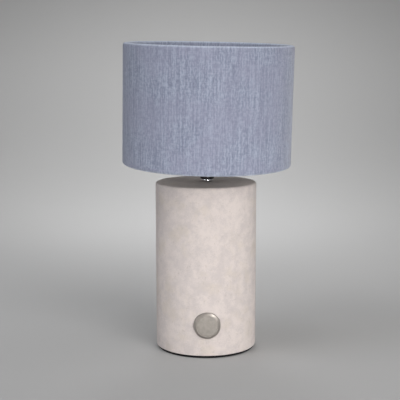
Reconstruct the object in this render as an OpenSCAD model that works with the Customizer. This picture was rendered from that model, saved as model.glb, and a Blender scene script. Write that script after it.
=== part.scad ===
// Table lamp: cast concrete base, upright stem and lampholder, fabric drum shade.
// Millimetres, +Z up, -Y is the front, origin in the middle of the foot pad's underside.

/* [Cast base] */
// Diameter of the cast base
base_d = 120; // [112:1:150]
// Height of the cast base, without its foot pad
base_h = 197; // [150:1:260]
// Wall of the cast base round its hollow
base_wall = 16; // [15:0.5:18]
// Thickness of the base's top
base_top = 16; // [10:0.5:24]
// Rounding of the base's top edge
base_round = 2.5; // [1:0.5:5]
// Chamfer round the base's lower edge
base_chamfer = 0.8; // [0.4:0.1:2]
// How far the stem's hole sits off the base's axis, to the right
stem_shift = 1.5; // [-3:0.1:3]

/* [Underside] */
// Thickness of the foot pad
pad_t = 3; // [2:0.5:6]
// How far the foot pad stays inside the base's outline
pad_inset = 2; // [1:0.5:5]
// Thickness of the base plate
plate_t = 2.5; // [2:0.25:4]
// Width of the ledge that the base plate is screwed to
ledge_w = 10; // [9:0.5:11]
// Gap round the base plate
plate_gap = 0.4; // [0.2:0.1:1]
// Number of base plate screws
plate_screw_n = 3; // [3:1:4]
// Direction of the first base plate screw, in degrees from the right
plate_screw_start = 30; // [20:1:40]
// Diameter of the base plate screws
plate_screw_d = 4; // [3:0.5:4]
// Length of the base plate screws
plate_screw_l = 12; // [8:1:14]
// Diameter of the threaded inserts
insert_d = 6; // [5.5:0.25:7]
// Length of the threaded inserts
insert_l = 12; // [12:1:16]

/* [Cord inlet] */
// Height of the cord inlet above the floor
inlet_z = 22; // [20:1:40]
// Bore of the cord bush
cord_bore = 6.6; // [5:0.2:7]
// Diameter of the cord bush's threaded end
bush_d = 10; // [9:0.5:11]
// How much wider its hex shank is across the flats
bush_hex_extra = 1; // [0.6:0.1:1.4]
// Diameter of the cord bush's flange
bush_flange_d = 15; // [14:0.5:18]
// Thickness of the cord bush's flange
bush_flange_t = 2; // [1.5:0.25:3]
// Width across the corners of the bush's lock nut
bush_nut_d = 18; // [17:0.5:20]
// Thickness of the bush's lock nut
bush_nut_t = 4; // [3:0.5:6]

/* [Push switch] */
// Height of the switch above the floor
switch_z = 39.4; // [36:0.2:70]
// Diameter of the switch's bezel
bezel_d = 31; // [29:0.5:34]
// Height of the bezel over its seat
bezel_t = 4; // [3:0.25:6]
// Width of the bezel's slope
bezel_slope_w = 2.6; // [1:0.1:3]
// Depth of the bezel's slope
bezel_slope_h = 1.3; // [0.5:0.1:2]
// Diameter of the push button's face
button_d = 24.4; // [20:0.2:25]
// How far the button stands out of the bezel
button_proud = 0.3; // [0:0.1:1]
// Travel of the push button
button_travel = 2; // [1:0.25:3]
// Diameter of the switch's threaded barrel
barrel_d = 28; // [27.5:0.25:28.5]
// Thickness of the switch's rubber seal
seal_t = 0.5; // [0.5:0.25:1.5]
// Width across the corners of the switch's nut
switch_nut_d = 38; // [34:0.5:40]
// Thickness of the switch's nut
switch_nut_t = 4; // [3:0.5:6]
// Length of the switch's body behind its barrel
switch_body_l = 14; // [10:1:16]
// Wire of the button's return spring
spring_wire = 0.8; // [0.6:0.1:1]
// Middle diameter of the button's return spring
spring_d = 15; // [12:0.5:17]
// Turns of the button's return spring
spring_turns = 4; // [3:1:6]

/* [Stem] */
// Diameter of the threaded stem
stem_d = 10; // [9:0.5:11]
// Bore of the threaded stem
stem_bore = 7.6; // [7.4:0.1:7.8]
// Diameter of the neck collar
collar_d = 12.5; // [12:0.5:16]
// Height of the neck collar
collar_h = 3.8; // [2:0.2:10]
// Diameter of the washer under the base's top
washer_d = 30; // [22:1:40]
// Thickness of the washer
washer_t = 1.5; // [1:0.25:3]
// Thickness of the lock washer
lock_washer_t = 1.2; // [0.8:0.1:2]
// Width across the corners of the stem's nut
stem_nut_d = 19.6; // [17:0.2:24]
// Thickness of the stem's nut
stem_nut_t = 4; // [3:0.5:8]

/* [Lampholder] */
// Diameter of the holder cap's neck
neck_d = 16.5; // [14.5:0.5:20]
// Height of the holder cap's neck
neck_h = 7; // [6:0.5:12]
// Diameter of the holder's cap
cap_d = 39.6; // [39:0.2:42]
// Height of the holder's cap
cap_h = 31; // [30:0.5:36]
// Height of the lampholder from neck to rim
holder_h = 68; // [66:0.5:74]
// Diameter of the holder's threaded skirt
skirt_d = 38.6; // [38:0.2:39]
// Wall of the holder's skirt
skirt_wall = 2; // [1.5:0.1:2.4]
// Pitch of the thread on the skirt
skirt_pitch = 2.5; // [2:0.25:4]
// Inside diameter of the lampholder's screw shell
shell_d = 27.2; // [26.8:0.1:27.6]
// Thickness of the lampholder's screw shell
shell_t = 0.5; // [0.3:0.1:0.8]
// Outside diameter of the shade rings
shade_ring_d = 57; // [50:1:58]
// Height of the shade rings
shade_ring_h = 8; // [6:0.5:8.5]
// Thickness of the shade rings' flange
shade_ring_flange = 2.5; // [2:0.25:4]

/* [Bulb] */
// Largest diameter of the bulb
bulb_d = 60; // [50:1:64]
// Length of the bulb
bulb_l = 106; // [102:1:110]
// Diameter of the bulb's screw cap
bulb_cap_d = 26.2; // [25.6:0.1:26.4]

/* [Shade] */
// Outside diameter of the shade
shade_d = 200; // [180:1:300]
// Height of the shade
shade_h = 141; // [130:1:200]
// How far the shade's lower rim hangs below its fitter
shade_drop = 40.5; // [30:0.5:45]
// Height of the shade's fitter above the lampholder's neck
fitter_rise = 58.2; // [56:0.2:59]
// How far the drum leans on its fitter, in degrees
shade_lean = 2.1; // [0:0.1:3]
// Direction that the drum leans in, in degrees from the right
lean_toward = -58; // [-180:1:180]
// Thickness of the shade's fabric
fabric_t = 0.8; // [0.5:0.1:1.2]
// Thickness of the shade's liner
liner_t = 0.6; // [0.4:0.1:1]
// Depth of the fabric's turned-in hem
hem_h = 12; // [9:0.5:20]
// Wire of the shade's rings
ring_wire = 3.2; // [3.2:0.2:4]
// Wire of the shade's arms
arm_wire = 3; // [2:0.2:3]
// Number of arms in the shade
arm_n = 3; // [3:1:5]
// Hole in the shade's fitter plate
fitter_hole = 42; // [41:0.5:44]
// Outside diameter of the shade's fitter plate
fitter_d = 66; // [65:1:72]
// Thickness of the shade's fitter plate
fitter_t = 1.5; // [1:0.25:2]
// Height of the fitter plate's turned-down rim
fitter_rim_h = 5; // [4:0.5:8]
// Thickness of the fitter plate's turned-down rim
fitter_rim_t = 1.2; // [0.8:0.1:2]

/* [Fits] */
// Gap on the radius between a thread and its hole
thread_gap = 0.05; // [0.02:0.01:0.1]
// Gap on the radius round what slides or turns
slide_gap = 0.06; // [0.03:0.01:0.1]
// Gap on the radius round what passes a plain hole
hole_gap = 0.3; // [0.2:0.05:0.4]
// Gap between faces that turn on each other
face_gap = 0.05; // [0.02:0.01:0.1]

/* [Hidden] */
$fn = 96;

eps = 0.01;
concrete = [0.85, 0.81, 0.79];
linen = [0.57, 0.61, 0.71];
chrome_grey = [0.75, 0.76, 0.78];
pewter = [0.62, 0.61, 0.59];
zinc_grey = [0.66, 0.67, 0.69];
brass_yellow = [0.80, 0.66, 0.35];
black_plastic = [0.08, 0.08, 0.09];
dark_rubber = [0.12, 0.12, 0.13];
white_plastic = [0.93, 0.93, 0.91];
opal = [0.96, 0.96, 0.93];

// Base
base_r = base_d / 2;
hollow_r = base_r - base_wall;
base_z = pad_t;
base_top_z = base_z + base_h;
hollow_top_z = base_top_z - base_top;
pad_r = base_r - pad_inset;
recess_r = hollow_r + ledge_w;
plate_r = recess_r - plate_gap;
plate_top_z = base_z + plate_t;
plate_screw_r = hollow_r + ledge_w / 2;
screw_head_h = plate_screw_d / 2;
screw_tip_gap = 1;
insert_top_z = plate_top_z + insert_l;

// Terminal block on the base plate
pole_n = 3;
pole_pitch = 9;
block_y = 12;
block_size = [pole_n * pole_pitch + 3, 18, 15];
block_entry_z = plate_top_z + 6;
pole_tube_r = 3;
pole_bore_r = 1.5;
pole_tube_l = block_size[1] - 3;
pole_screw_r = 1.5;
pole_screw_l = 7;
block_screw_r = 1.25;
block_screw_head_r = 2;
block_screw_head_h = 1.5;

// Flat seats cut into the round wall, and flat bosses raised inside it
seat_sink = 0.2;
boss_lift = 0.5;
boss_root = base_wall * 0.8;
function chord_y(r, half_w) = sqrt(r * r - half_w * half_w);

// Cord inlet, at the back of the base
bush_r = bush_d / 2;
bush_seat_r = bush_flange_d / 2 + hole_gap;
bush_seat_y = chord_y(base_r, bush_seat_r) - seat_sink;
bush_boss_r = bush_nut_d / 2 + 1;
bush_boss_y = chord_y(hollow_r, bush_boss_r) - boss_lift;
bush_wall = bush_seat_y - bush_boss_y;
bush_l = bush_wall + bush_nut_t + 1.5;
bush_flat_r = (bush_d + bush_hex_extra) / 2;

// Push switch, at the front of the base; its own Z runs out of the base's front
bezel_r = bezel_d / 2;
barrel_r = barrel_d / 2;
switch_seat_y = chord_y(base_r, bezel_r + hole_gap) - seat_sink;
switch_boss_r = switch_nut_d / 2 + 1.5;
switch_boss_y = chord_y(hollow_r, switch_boss_r) - boss_lift;
switch_wall = switch_seat_y - switch_boss_y;
bezel_top = seal_t + bezel_t;
barrel_end = -(switch_wall + switch_nut_t + 1.7);
button_r = button_d / 2;
lip_r = button_r + slide_gap;
chamber_r = barrel_r - 1.1;
shoulder_r = chamber_r - slide_gap;
lip_end = bezel_top - 3;
shoulder_t = 3;
shoulder_end = lip_end - face_gap - shoulder_t;
spring_room = 8.5;
body_front = shoulder_end - spring_room;
plunger_r = 3;
plunger_end = body_front - 2.5;
plunger_hole_end = plunger_end - button_travel - 1;
body_back = barrel_end - switch_body_l;
tab_size = [0.8, 6.3, 8];
tab_x = 5;

// Stem and lampholder, on one upright axis
stem_r = stem_d / 2;
holder_z = base_top_z + collar_h;
washer_z = hollow_top_z - washer_t;
lock_washer_z = washer_z - lock_washer_t;
stem_nut_z = lock_washer_z - stem_nut_t;
stem_low_z = stem_nut_z - 2;
stem_in_cap = neck_h + 1;
cap_r = cap_d / 2;
cap_wall = 1.8;
neck_r = neck_d / 2;
cap_cone_z = neck_h + 9;
cap_room_z = neck_h + 2.5;
skirt_r = skirt_d / 2;
skirt_bore_r = skirt_r - skirt_wall;
sleeve_r = cap_r - cap_wall - thread_gap;
sleeve_h = 7;
core_r = sleeve_r - 2;
core_z = 24;
core_h = 10;
core_top = core_z + core_h;
thread_depth = 0.5;
shell_r = shell_d / 2;
shell_h = 24;
shell_out_r = shell_r + shell_t;
terminal_x = 8.5;
terminal_size = [6, 7, 6];
contact_h = 3;
contact_w = 6;
contact_t = 0.6;

// Shade rings on the skirt's thread
fitter_z = holder_z + fitter_rise;
ring_bore_r = skirt_r + slide_gap;
ring_hub_r = ring_bore_r + 2.5;
shade_ring_r = shade_ring_d / 2;
grip_n = 12;
grip_r = 1.5;

// Bulb
bulb_z = core_top + contact_h + 2 * face_gap;
bulb_r = bulb_d / 2;
bulb_cap_r = bulb_cap_d / 2;
tip_r = 4.5;
tip_h = 1;
insulator_h = 3.5;
insulator_r = 11.5;
cap_foot = tip_h + insulator_h;
bulb_cap_h = 21;
housing_z = cap_foot + bulb_cap_h;
housing_neck_r = 14.2;
housing_neck_h = 8;
dome_centre = bulb_l - bulb_r;
dome_below = 14;
dome_z = dome_centre - dome_below;
dome_foot_r = chord_y(bulb_r, dome_below);
dome_wall = 1.2;
bulb_thread_pitch = 3.6;

// Shade, in its own leaning frame with the fitter's middle as origin
shade_r = shade_d / 2;
shade_low = -shade_drop;
shade_top = shade_h - shade_drop;
wire_r = ring_wire / 2;
arm_r = arm_wire / 2;
liner_r = shade_r - fabric_t;
ring_path_r = liner_r - liner_t - wire_r;
hem_r = ring_path_r - wire_r;
top_ring_z = shade_top - fabric_t - wire_r;
low_ring_z = shade_low + fabric_t + wire_r;
arm_notch = arm_wire + 2;
arm_start_r = fitter_d / 2 - arm_r;
arm_start_z = (fitter_t - fitter_rim_h) / 2;

// A point of the leaning frame, seen from the fitter's middle in the upright frame
function turned(p, a) = [p[0] * cos(a) - p[1] * sin(a), p[0] * sin(a) + p[1] * cos(a), p[2]];
function tipped(p, a) = [p[0] * cos(a) + p[2] * sin(a), p[1], p[2] * cos(a) - p[0] * sin(a)];
function leaned(p) = turned(tipped(turned(p, -lean_toward), shade_lean), lean_toward);

// Smooth route through points: Catmull-Rom, a few steps a span
route_steps = 6;
function spline_at(a, b, c, d, t) =
    0.5 * (2 * b + (c - a) * t + (2 * a - 5 * b + 4 * c - d) * t * t
        + (3 * b - a - 3 * c + d) * t * t * t);
function route(p) = let (n = len(p)) [
    for (i = [0 : n - 2], k = [0 : route_steps - (i == n - 2 ? 0 : 1)])
        spline_at(p[max(i - 1, 0)], p[i], p[i + 1], p[min(i + 2, n - 1)], k / route_steps)
];

// Round wire along a path; up is never along the path
module wire(path, r, up, sides = 8) {
    n = len(path);
    rings = [
        for (i = [0 : n - 1])
            let (
                way = path[min(i + 1, n - 1)] - path[max(i - 1, 0)],
                t = way / norm(way),
                side = cross(t, up) / norm(cross(t, up)),
                over = cross(t, side)
            )
            for (k = [0 : sides - 1])
                path[i] + r * (cos(360 * k / sides) * side + sin(360 * k / sides) * over)
    ];
    walls = [
        for (i = [0 : n - 2], k = [0 : sides - 1])
            let (j = (k + 1) % sides)
            [i * sides + j, i * sides + k, (i + 1) * sides + k, (i + 1) * sides + j]
    ];
    ends = [
        [for (k = [0 : sides - 1]) k],
        [for (k = [sides - 1 : -1 : 0]) (n - 1) * sides + k]
    ];
    polyhedron(points = rings, faces = concat(walls, ends));
}

module tube(r_out, r_in, h) {
    difference() {
        cylinder(r = r_out, h = h);
        translate([0, 0, -1]) cylinder(r = r_in, h = h + 2);
    }
}

// Hexagonal bar, by the distance from its axis to its flats
module hex_bar(flat_r, h) {
    cylinder(r = flat_r / cos(30), h = h, $fn = 6);
}

module around(n, r, start = 90) {
    for (i = [0 : n - 1]) rotate([0, 0, start + i * 360 / n]) translate([r, 0, 0]) children();
}

module at_stem(z = 0) {
    translate([stem_shift, 0, z]) children();
}

module at_holder(z = 0) {
    at_stem(holder_z + z) children();
}

module at_switch() {
    translate([0, -switch_seat_y, switch_z]) rotate([90, 0, 0]) children();
}

module at_inlet() {
    translate([0, bush_seat_y, inlet_z]) rotate([-90, 0, 0]) children();
}

module at_block() {
    translate([0, block_y, plate_top_z]) children();
}

module at_block_screws() {
    at_block() for (s = [-1, 1]) translate([s * pole_pitch / 2, 0, 0]) children();
}

module at_bulb(z = 0) {
    at_holder(bulb_z + z) children();
}

module in_shade() {
    at_stem(fitter_z)
        rotate([0, 0, lean_toward]) rotate([0, shade_lean, 0]) rotate([0, 0, -lean_toward])
            children();
}

// ---- Base ----

module base_outline() {
    rotate_extrude() {
        translate([0, base_chamfer]) square([base_r, base_h - base_round - base_chamfer]);
        square([base_r - base_round, base_h]);
        translate([base_r - base_round, base_h - base_round]) circle(base_round);
        polygon([
            [0, 0],
            [base_r - base_chamfer, 0],
            [base_r, base_chamfer],
            [0, base_chamfer]
        ]);
    }
}

module base_shell() {
    color(concrete) difference() {
        union() {
            difference() {
                translate([0, 0, base_z]) base_outline();
                translate([0, 0, base_z - 1]) cylinder(r = recess_r, h = plate_t + 1);
                translate([0, 0, base_z]) cylinder(r = hollow_r, h = base_h - base_top);
            }
            at_switch() translate([0, 0, -switch_wall]) cylinder(r = switch_boss_r, h = boss_root);
            at_inlet() translate([0, 0, -bush_wall]) cylinder(r = bush_boss_r, h = boss_root);
        }
        at_stem(hollow_top_z - 1) cylinder(r = stem_r + hole_gap, h = base_top + 2);
        at_switch() {
            cylinder(r = bezel_r + hole_gap, h = base_wall);
            translate([0, 0, -switch_wall - 1]) cylinder(r = barrel_r + hole_gap, h = base_wall * 2);
        }
        at_inlet() {
            translate([-base_r, -bush_seat_r, 0]) cube([base_d, 2 * bush_seat_r, base_wall]);
            translate([0, 0, -bush_wall - 1]) hex_bar(bush_flat_r + hole_gap, base_wall * 2);
        }
        around(plate_screw_n, plate_screw_r, plate_screw_start) translate([0, 0, plate_top_z - eps])
            cylinder(d = insert_d, h = insert_l + eps);
    }
}

module screw_inserts() {
    color(brass_yellow) around(plate_screw_n, plate_screw_r, plate_screw_start) translate([0, 0, plate_top_z])
        difference() {
            cylinder(d = insert_d, h = insert_l);
            translate([0, 0, -1])
                cylinder(r = plate_screw_d / 2 + thread_gap, h = insert_l);
        }
}

module screw_cone(gap) {
    cylinder(r1 = plate_screw_d + gap, r2 = plate_screw_d / 2 + gap, h = screw_head_h);
}

module base_plate() {
    color(zinc_grey) difference() {
        translate([0, 0, base_z]) cylinder(r = plate_r, h = plate_t);
        around(plate_screw_n, plate_screw_r, plate_screw_start) translate([0, 0, base_z]) {
            screw_cone(thread_gap);
            translate([0, 0, -1]) cylinder(r = plate_screw_d / 2 + thread_gap, h = plate_t + 2);
        }
        at_block_screws() translate([0, 0, -plate_t - 1])
            cylinder(r = block_screw_r + thread_gap, h = plate_t + 2);
    }
}

module base_plate_screws() {
    shank_l = min(plate_screw_l, plate_t + insert_l - 1 - screw_tip_gap);
    color(zinc_grey) around(plate_screw_n, plate_screw_r, plate_screw_start) translate([0, 0, base_z])
        difference() {
            union() {
                screw_cone(0);
                cylinder(d = plate_screw_d, h = shank_l);
            }
            translate([0, 0, -eps]) cylinder(d = plate_screw_d * 0.6, h = screw_head_h * 0.8, $fn = 6);
        }
}

module foot_pad() {
    color(dark_rubber) cylinder(r = pad_r, h = pad_t);
}

// ---- Cord inlet ----

module cord_bush() {
    color(black_plastic) at_inlet() difference() {
        union() {
            cylinder(d = bush_flange_d, h = bush_flange_t);
            translate([0, 0, -bush_wall]) hex_bar(bush_flat_r, bush_wall + eps);
            translate([0, 0, -bush_l]) cylinder(r = bush_r, h = bush_l);
        }
        translate([0, 0, -bush_l - 1]) cylinder(d = cord_bore, h = bush_l + bush_flange_t + 2);
    }
}

module cord_bush_nut() {
    color(black_plastic) at_inlet() translate([0, 0, -bush_wall - bush_nut_t])
        difference() {
            cylinder(d = bush_nut_d, h = bush_nut_t, $fn = 6);
            translate([0, 0, -1]) cylinder(r = bush_r + thread_gap, h = bush_nut_t + 2);
        }
}

// ---- Terminal block ----

module at_poles() {
    at_block() for (i = [0 : pole_n - 1])
        translate([(i - (pole_n - 1) / 2) * pole_pitch, 0, block_entry_z - plate_top_z]) children();
}

module terminal_block() {
    color(white_plastic) difference() {
        at_block() translate([-block_size[0] / 2, -block_size[1] / 2, 0]) cube(block_size);
        at_poles() {
            rotate([90, 0, 0]) cylinder(r = pole_tube_r, h = pole_tube_l, center = true);
            rotate([90, 0, 0]) cylinder(r = pole_bore_r + 0.5, h = block_size[1] + 2, center = true);
            for (s = [-1, 1]) translate([0, s * pole_tube_l / 4, 0])
                cylinder(r = pole_screw_r + 1, h = block_size[2]);
        }
        at_block_screws() translate([0, 0, -1])
            cylinder(r = block_screw_r + thread_gap, h = block_size[2] + 2);
    }
}

module terminal_tubes() {
    color(brass_yellow) at_poles() difference() {
        rotate([90, 0, 0]) cylinder(r = pole_tube_r, h = pole_tube_l, center = true);
        rotate([90, 0, 0]) cylinder(r = pole_bore_r, h = pole_tube_l + 2, center = true);
        for (s = [-1, 1]) translate([0, s * pole_tube_l / 4, 0])
            cylinder(r = pole_screw_r + thread_gap, h = pole_tube_r + 1);
    }
}

module terminal_screws() {
    color(zinc_grey) at_poles() for (s = [-1, 1]) translate([0, s * pole_tube_l / 4, pole_bore_r])
        difference() {
            cylinder(r = pole_screw_r, h = pole_screw_l);
            translate([-pole_screw_r - 1, -0.3, pole_screw_l - 0.8]) cube([2 * pole_screw_r + 2, 0.6, 2]);
        }
}

module block_screws() {
    color(zinc_grey) at_block_screws() {
        translate([0, 0, -plate_t]) cylinder(r = block_screw_r, h = block_size[2] + plate_t);
        translate([0, 0, block_size[2]]) cylinder(r = block_screw_head_r, h = block_screw_head_h);
    }
}

// ---- Push switch, outward along its own Z ----

module switch_seal() {
    color(dark_rubber) at_switch() tube(bezel_r, barrel_r, seal_t);
}

module switch_bezel() {
    color(pewter) at_switch() difference() {
        union() {
            translate([0, 0, seal_t]) cylinder(r = bezel_r, h = bezel_t - bezel_slope_h);
            translate([0, 0, bezel_top - bezel_slope_h])
                cylinder(r1 = bezel_r, r2 = bezel_r - bezel_slope_w, h = bezel_slope_h);
            translate([0, 0, barrel_end]) cylinder(r = barrel_r, h = seal_t - barrel_end + eps);
        }
        cylinder(r = lip_r, h = bezel_top + 1);
        translate([0, 0, barrel_end - 1]) cylinder(r = chamber_r, h = lip_end - barrel_end + 1);
    }
}

module switch_nut() {
    color(zinc_grey) at_switch() translate([0, 0, -switch_wall - switch_nut_t]) difference() {
        cylinder(d = switch_nut_d, h = switch_nut_t, $fn = 6);
        translate([0, 0, -1]) cylinder(r = barrel_r + thread_gap, h = switch_nut_t + 2);
    }
}

module switch_body() {
    color(black_plastic) at_switch() difference() {
        union() {
            translate([0, 0, barrel_end]) cylinder(r = chamber_r - thread_gap, h = body_front - barrel_end);
            translate([0, 0, body_back]) cylinder(r = barrel_r, h = switch_body_l);
        }
        translate([0, 0, plunger_hole_end]) cylinder(r = plunger_r + slide_gap, h = base_wall);
    }
}

module switch_terminals() {
    color(brass_yellow) at_switch() for (s = [-1, 1])
        translate([s * tab_x - tab_size[0] / 2, -tab_size[1] / 2, body_back - tab_size[2]]) cube(tab_size);
}

module switch_spring() {
    steps = 20;
    low = body_front + spring_wire / 2;
    high = shoulder_end - spring_wire / 2;
    total = spring_turns * steps;
    path = [
        for (i = [0 : total])
            let (a = 360 * i / steps, u = i / total)
            [spring_d / 2 * cos(a), spring_d / 2 * sin(a), low + (high - low) * u]
    ];
    color(zinc_grey) at_switch() wire(path, spring_wire / 2, [0, 0, 1]);
}

module switch_button() {
    color(pewter) at_switch() {
        translate([0, 0, lip_end - 1]) cylinder(r = button_r, h = bezel_top + button_proud - lip_end + 1);
        translate([0, 0, shoulder_end]) cylinder(r = shoulder_r, h = shoulder_t);
        translate([0, 0, plunger_end]) cylinder(r = plunger_r, h = shoulder_end - plunger_end + eps);
    }
}

// ---- Leads: from the switch to the block, and from the block up to the lampholder ----

lead_r = 1;
lead_seat = 4;
lead_apart = 1.7;
lead_end_gap = 0.1;

function pole_x(i) = (i - (pole_n - 1) / 2) * pole_pitch;

function switch_lead_path(s) = let (
    tab_y = -switch_seat_y - body_back + tab_size[2],
    end_x = pole_x(s < 0 ? 0 : 1),
    front_y = block_y - block_size[1] / 2
) [
    [s * tab_x, tab_y, switch_z],
    [s * tab_x, tab_y + 3, switch_z - 1.5],
    [(s * tab_x + end_x) / 2, front_y - 8, (switch_z + block_entry_z) / 2],
    [end_x, front_y - 5, block_entry_z + 3],
    [end_x, front_y, block_entry_z],
    [end_x, front_y + lead_seat, block_entry_z]
];

// Side s of the holder, from pole i, leaving the block's front (out = -1) or back (out = 1)
function holder_lead_path(s, i, out) = let (
    face_y = block_y + out * block_size[1] / 2,
    top_z = holder_z + core_z - terminal_size[2],
    in_x = stem_shift + s * lead_apart
) [
    [pole_x(i), face_y - out * lead_seat, block_entry_z],
    [pole_x(i), face_y, block_entry_z],
    [pole_x(i), face_y + out * 6, block_entry_z + 4],
    [pole_x(i), face_y + out * 7, block_entry_z + 14],
    [(pole_x(i) + in_x) / 2, face_y / 2, stem_low_z / 2],
    [in_x, 0, stem_low_z - 30],
    [in_x, 0, stem_low_z - 12],
    [in_x, 0, stem_low_z],
    [in_x, 0, (stem_low_z + holder_z) / 2],
    [in_x, 0, holder_z + stem_in_cap - 4],
    [in_x, 0, holder_z + stem_in_cap],
    [stem_shift + s * (lead_apart + terminal_x) / 2, 0, (holder_z + stem_in_cap + top_z) / 2],
    [stem_shift + s * terminal_x, 0, top_z - 2],
    [stem_shift + s * terminal_x, 0, top_z - lead_end_gap]
];

module switch_leads() {
    color([0.55, 0.30, 0.12]) for (s = [-1, 1]) wire(route(switch_lead_path(s)), lead_r, [1, 0.3, 0.2]);
}

module holder_leads() {
    color([0.55, 0.30, 0.12]) wire(route(holder_lead_path(-1, 1, 1)), lead_r, [1, 2, 0.3]);
    color([0.20, 0.35, 0.70]) wire(route(holder_lead_path(1, 2, -1)), lead_r, [1, -2, 0.3]);
}

// ---- Stem ----

module stem() {
    color(chrome_grey) at_stem(stem_low_z) tube(stem_r, stem_bore / 2, holder_z + stem_in_cap - stem_low_z);
}

module stem_washer() {
    color(zinc_grey) at_stem(washer_z) tube(washer_d / 2, stem_r + thread_gap, washer_t);
}

module stem_lock_washer() {
    color(zinc_grey) at_stem(lock_washer_z) difference() {
        tube(stem_nut_d / 2 - 1, stem_r + thread_gap, lock_washer_t);
        translate([0, -1, -1]) cube([stem_nut_d, 2, lock_washer_t + 2]);
    }
}

module stem_nut() {
    color(zinc_grey) at_stem(stem_nut_z) difference() {
        cylinder(d = stem_nut_d, h = stem_nut_t, $fn = 6);
        translate([0, 0, -1]) cylinder(r = stem_r + thread_gap, h = stem_nut_t + 2);
    }
}

module neck_collar() {
    edge = 0.6;
    color(chrome_grey) at_stem(base_top_z) difference() {
        rotate_extrude() polygon([
            [0, 0],
            [collar_d / 2, 0],
            [collar_d / 2, collar_h - edge],
            [collar_d / 2 - edge, collar_h],
            [0, collar_h]
        ]);
        translate([0, 0, -1]) cylinder(r = stem_r + thread_gap, h = collar_h + 2);
    }
}

// ---- Lampholder ----

module holder_cap() {
    edge = 0.6;
    color(black_plastic) at_holder() difference() {
        rotate_extrude() polygon([
            [0, 0],
            [neck_r - edge, 0],
            [neck_r, edge],
            [neck_r, neck_h],
            [cap_r, cap_cone_z],
            [cap_r, cap_h],
            [cap_r - cap_wall, cap_h],
            [cap_r - cap_wall, cap_cone_z + 1.5],
            [neck_r - cap_wall, cap_room_z],
            [0, cap_room_z]
        ]);
        translate([0, 0, -1]) cylinder(r = stem_r + thread_gap, h = cap_room_z + 2);
        translate([0, 0, neck_h / 2]) rotate([-90, 0, 0]) cylinder(r = 1.5 + thread_gap, h = neck_d);
    }
}

module cap_lock_screw() {
    reach = stem_r + 0.1;
    color(zinc_grey) at_holder(neck_h / 2) rotate([-90, 0, 0]) translate([0, 0, reach]) difference() {
        cylinder(r = 1.5, h = neck_r - reach - 0.5);
        translate([0, 0, neck_r - reach - 1.7]) cylinder(r = 0.8, h = 2, $fn = 6);
    }
}

module holder_core() {
    color(white_plastic) at_holder() difference() {
        union() {
            translate([0, 0, core_z]) cylinder(r = core_r, h = core_h);
            translate([0, 0, core_z]) cylinder(r = sleeve_r - skirt_wall - thread_gap, h = core_h / 2);
        }
        for (s = [-1, 1]) translate([s * terminal_x, 0, core_z - 1])
            cylinder(r = 1.25 + thread_gap, h = core_h - 2);
    }
}

module core_terminals() {
    color(brass_yellow) at_holder(core_z - terminal_size[2]) for (s = [-1, 1])
        translate([s * terminal_x, 0, 0]) difference() {
            translate([-terminal_size[0] / 2, -terminal_size[1] / 2, 0]) cube(terminal_size);
            translate([0, 0, terminal_size[2] / 2]) rotate([90, 0, 0]) cylinder(r = 1.25, h = terminal_size[1]);
        }
}

module core_terminal_screws() {
    color(zinc_grey) at_holder(core_z - terminal_size[2] / 2) for (s = [-1, 1])
        translate([s * terminal_x, 0, 0]) rotate([90, 0, 0]) difference() {
            cylinder(r = 1.25 - thread_gap, h = terminal_size[1] / 2 + 1.5);
            translate([-2, -0.3, terminal_size[1] / 2 + 0.7]) cube([4, 0.6, 1]);
        }
}

module screw_shell() {
    color(brass_yellow) at_holder(core_top) {
        tube(shell_out_r, shell_r, shell_h);
        tube(shell_out_r, shell_r - 3, 0.8);
    }
}

module centre_contact() {
    color(brass_yellow) at_holder(core_top) {
        translate([-contact_w / 2, -contact_w, 0]) cube([contact_w, contact_w * 2, contact_t]);
        cylinder(r = contact_w / 2 - 0.6, h = contact_h);
    }
}

module holder_skirt() {
    turns = floor((holder_h - cap_h - 2) / skirt_pitch);
    color(black_plastic) at_holder() difference() {
        union() {
            translate([0, 0, cap_h + 0.1]) cylinder(r = skirt_r, h = holder_h - cap_h - 0.1);
            translate([0, 0, cap_h - sleeve_h]) cylinder(r = sleeve_r, h = sleeve_h + 0.2);
        }
        translate([0, 0, cap_h - sleeve_h - 1]) cylinder(r = sleeve_r - skirt_wall, h = sleeve_h + 1);
        translate([0, 0, cap_h - 1]) cylinder(r = skirt_bore_r, h = holder_h);
        for (i = [0 : turns - 1]) translate([0, 0, cap_h + 2 + i * skirt_pitch])
            tube(skirt_r + 1, skirt_r - thread_depth, skirt_pitch * 0.4);
    }
}

// Round nut with a flange on the side of the fitter plate, and finger grips round its rim
module shade_ring() {
    difference() {
        union() {
            cylinder(r = shade_ring_r, h = shade_ring_flange);
            cylinder(r = ring_hub_r, h = shade_ring_h);
        }
        translate([0, 0, -1]) cylinder(r = ring_bore_r, h = shade_ring_h + 2);
        around(grip_n, shade_ring_r + grip_r / 2) translate([0, 0, -1])
            cylinder(r = grip_r, h = shade_ring_flange + 2);
    }
}

module shade_ring_lower() {
    color(black_plastic) at_holder(fitter_rise - fitter_t / 2 - face_gap) mirror([0, 0, 1]) shade_ring();
}

module shade_ring_upper() {
    color(black_plastic) at_holder(fitter_rise + fitter_t / 2 + face_gap) shade_ring();
}

// ---- Bulb ----

module bulb_tip() {
    color(zinc_grey) at_bulb() cylinder(r = tip_r, h = tip_h);
}

module bulb_insulator() {
    color(black_plastic) at_bulb(tip_h) cylinder(r1 = tip_r + 0.5, r2 = insulator_r, h = insulator_h);
}

module bulb_cap() {
    color(chrome_grey) at_bulb(cap_foot) {
        cylinder(r1 = insulator_r, r2 = bulb_cap_r - 0.6, h = 1.5);
        translate([0, 0, 1.5 - eps]) cylinder(r = bulb_cap_r - 0.6, h = bulb_cap_h - 1.5 + eps);
        for (i = [0 : 3]) translate([0, 0, 3 + i * bulb_thread_pitch])
            cylinder(r = bulb_cap_r, h = bulb_thread_pitch / 2);
    }
}

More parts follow.
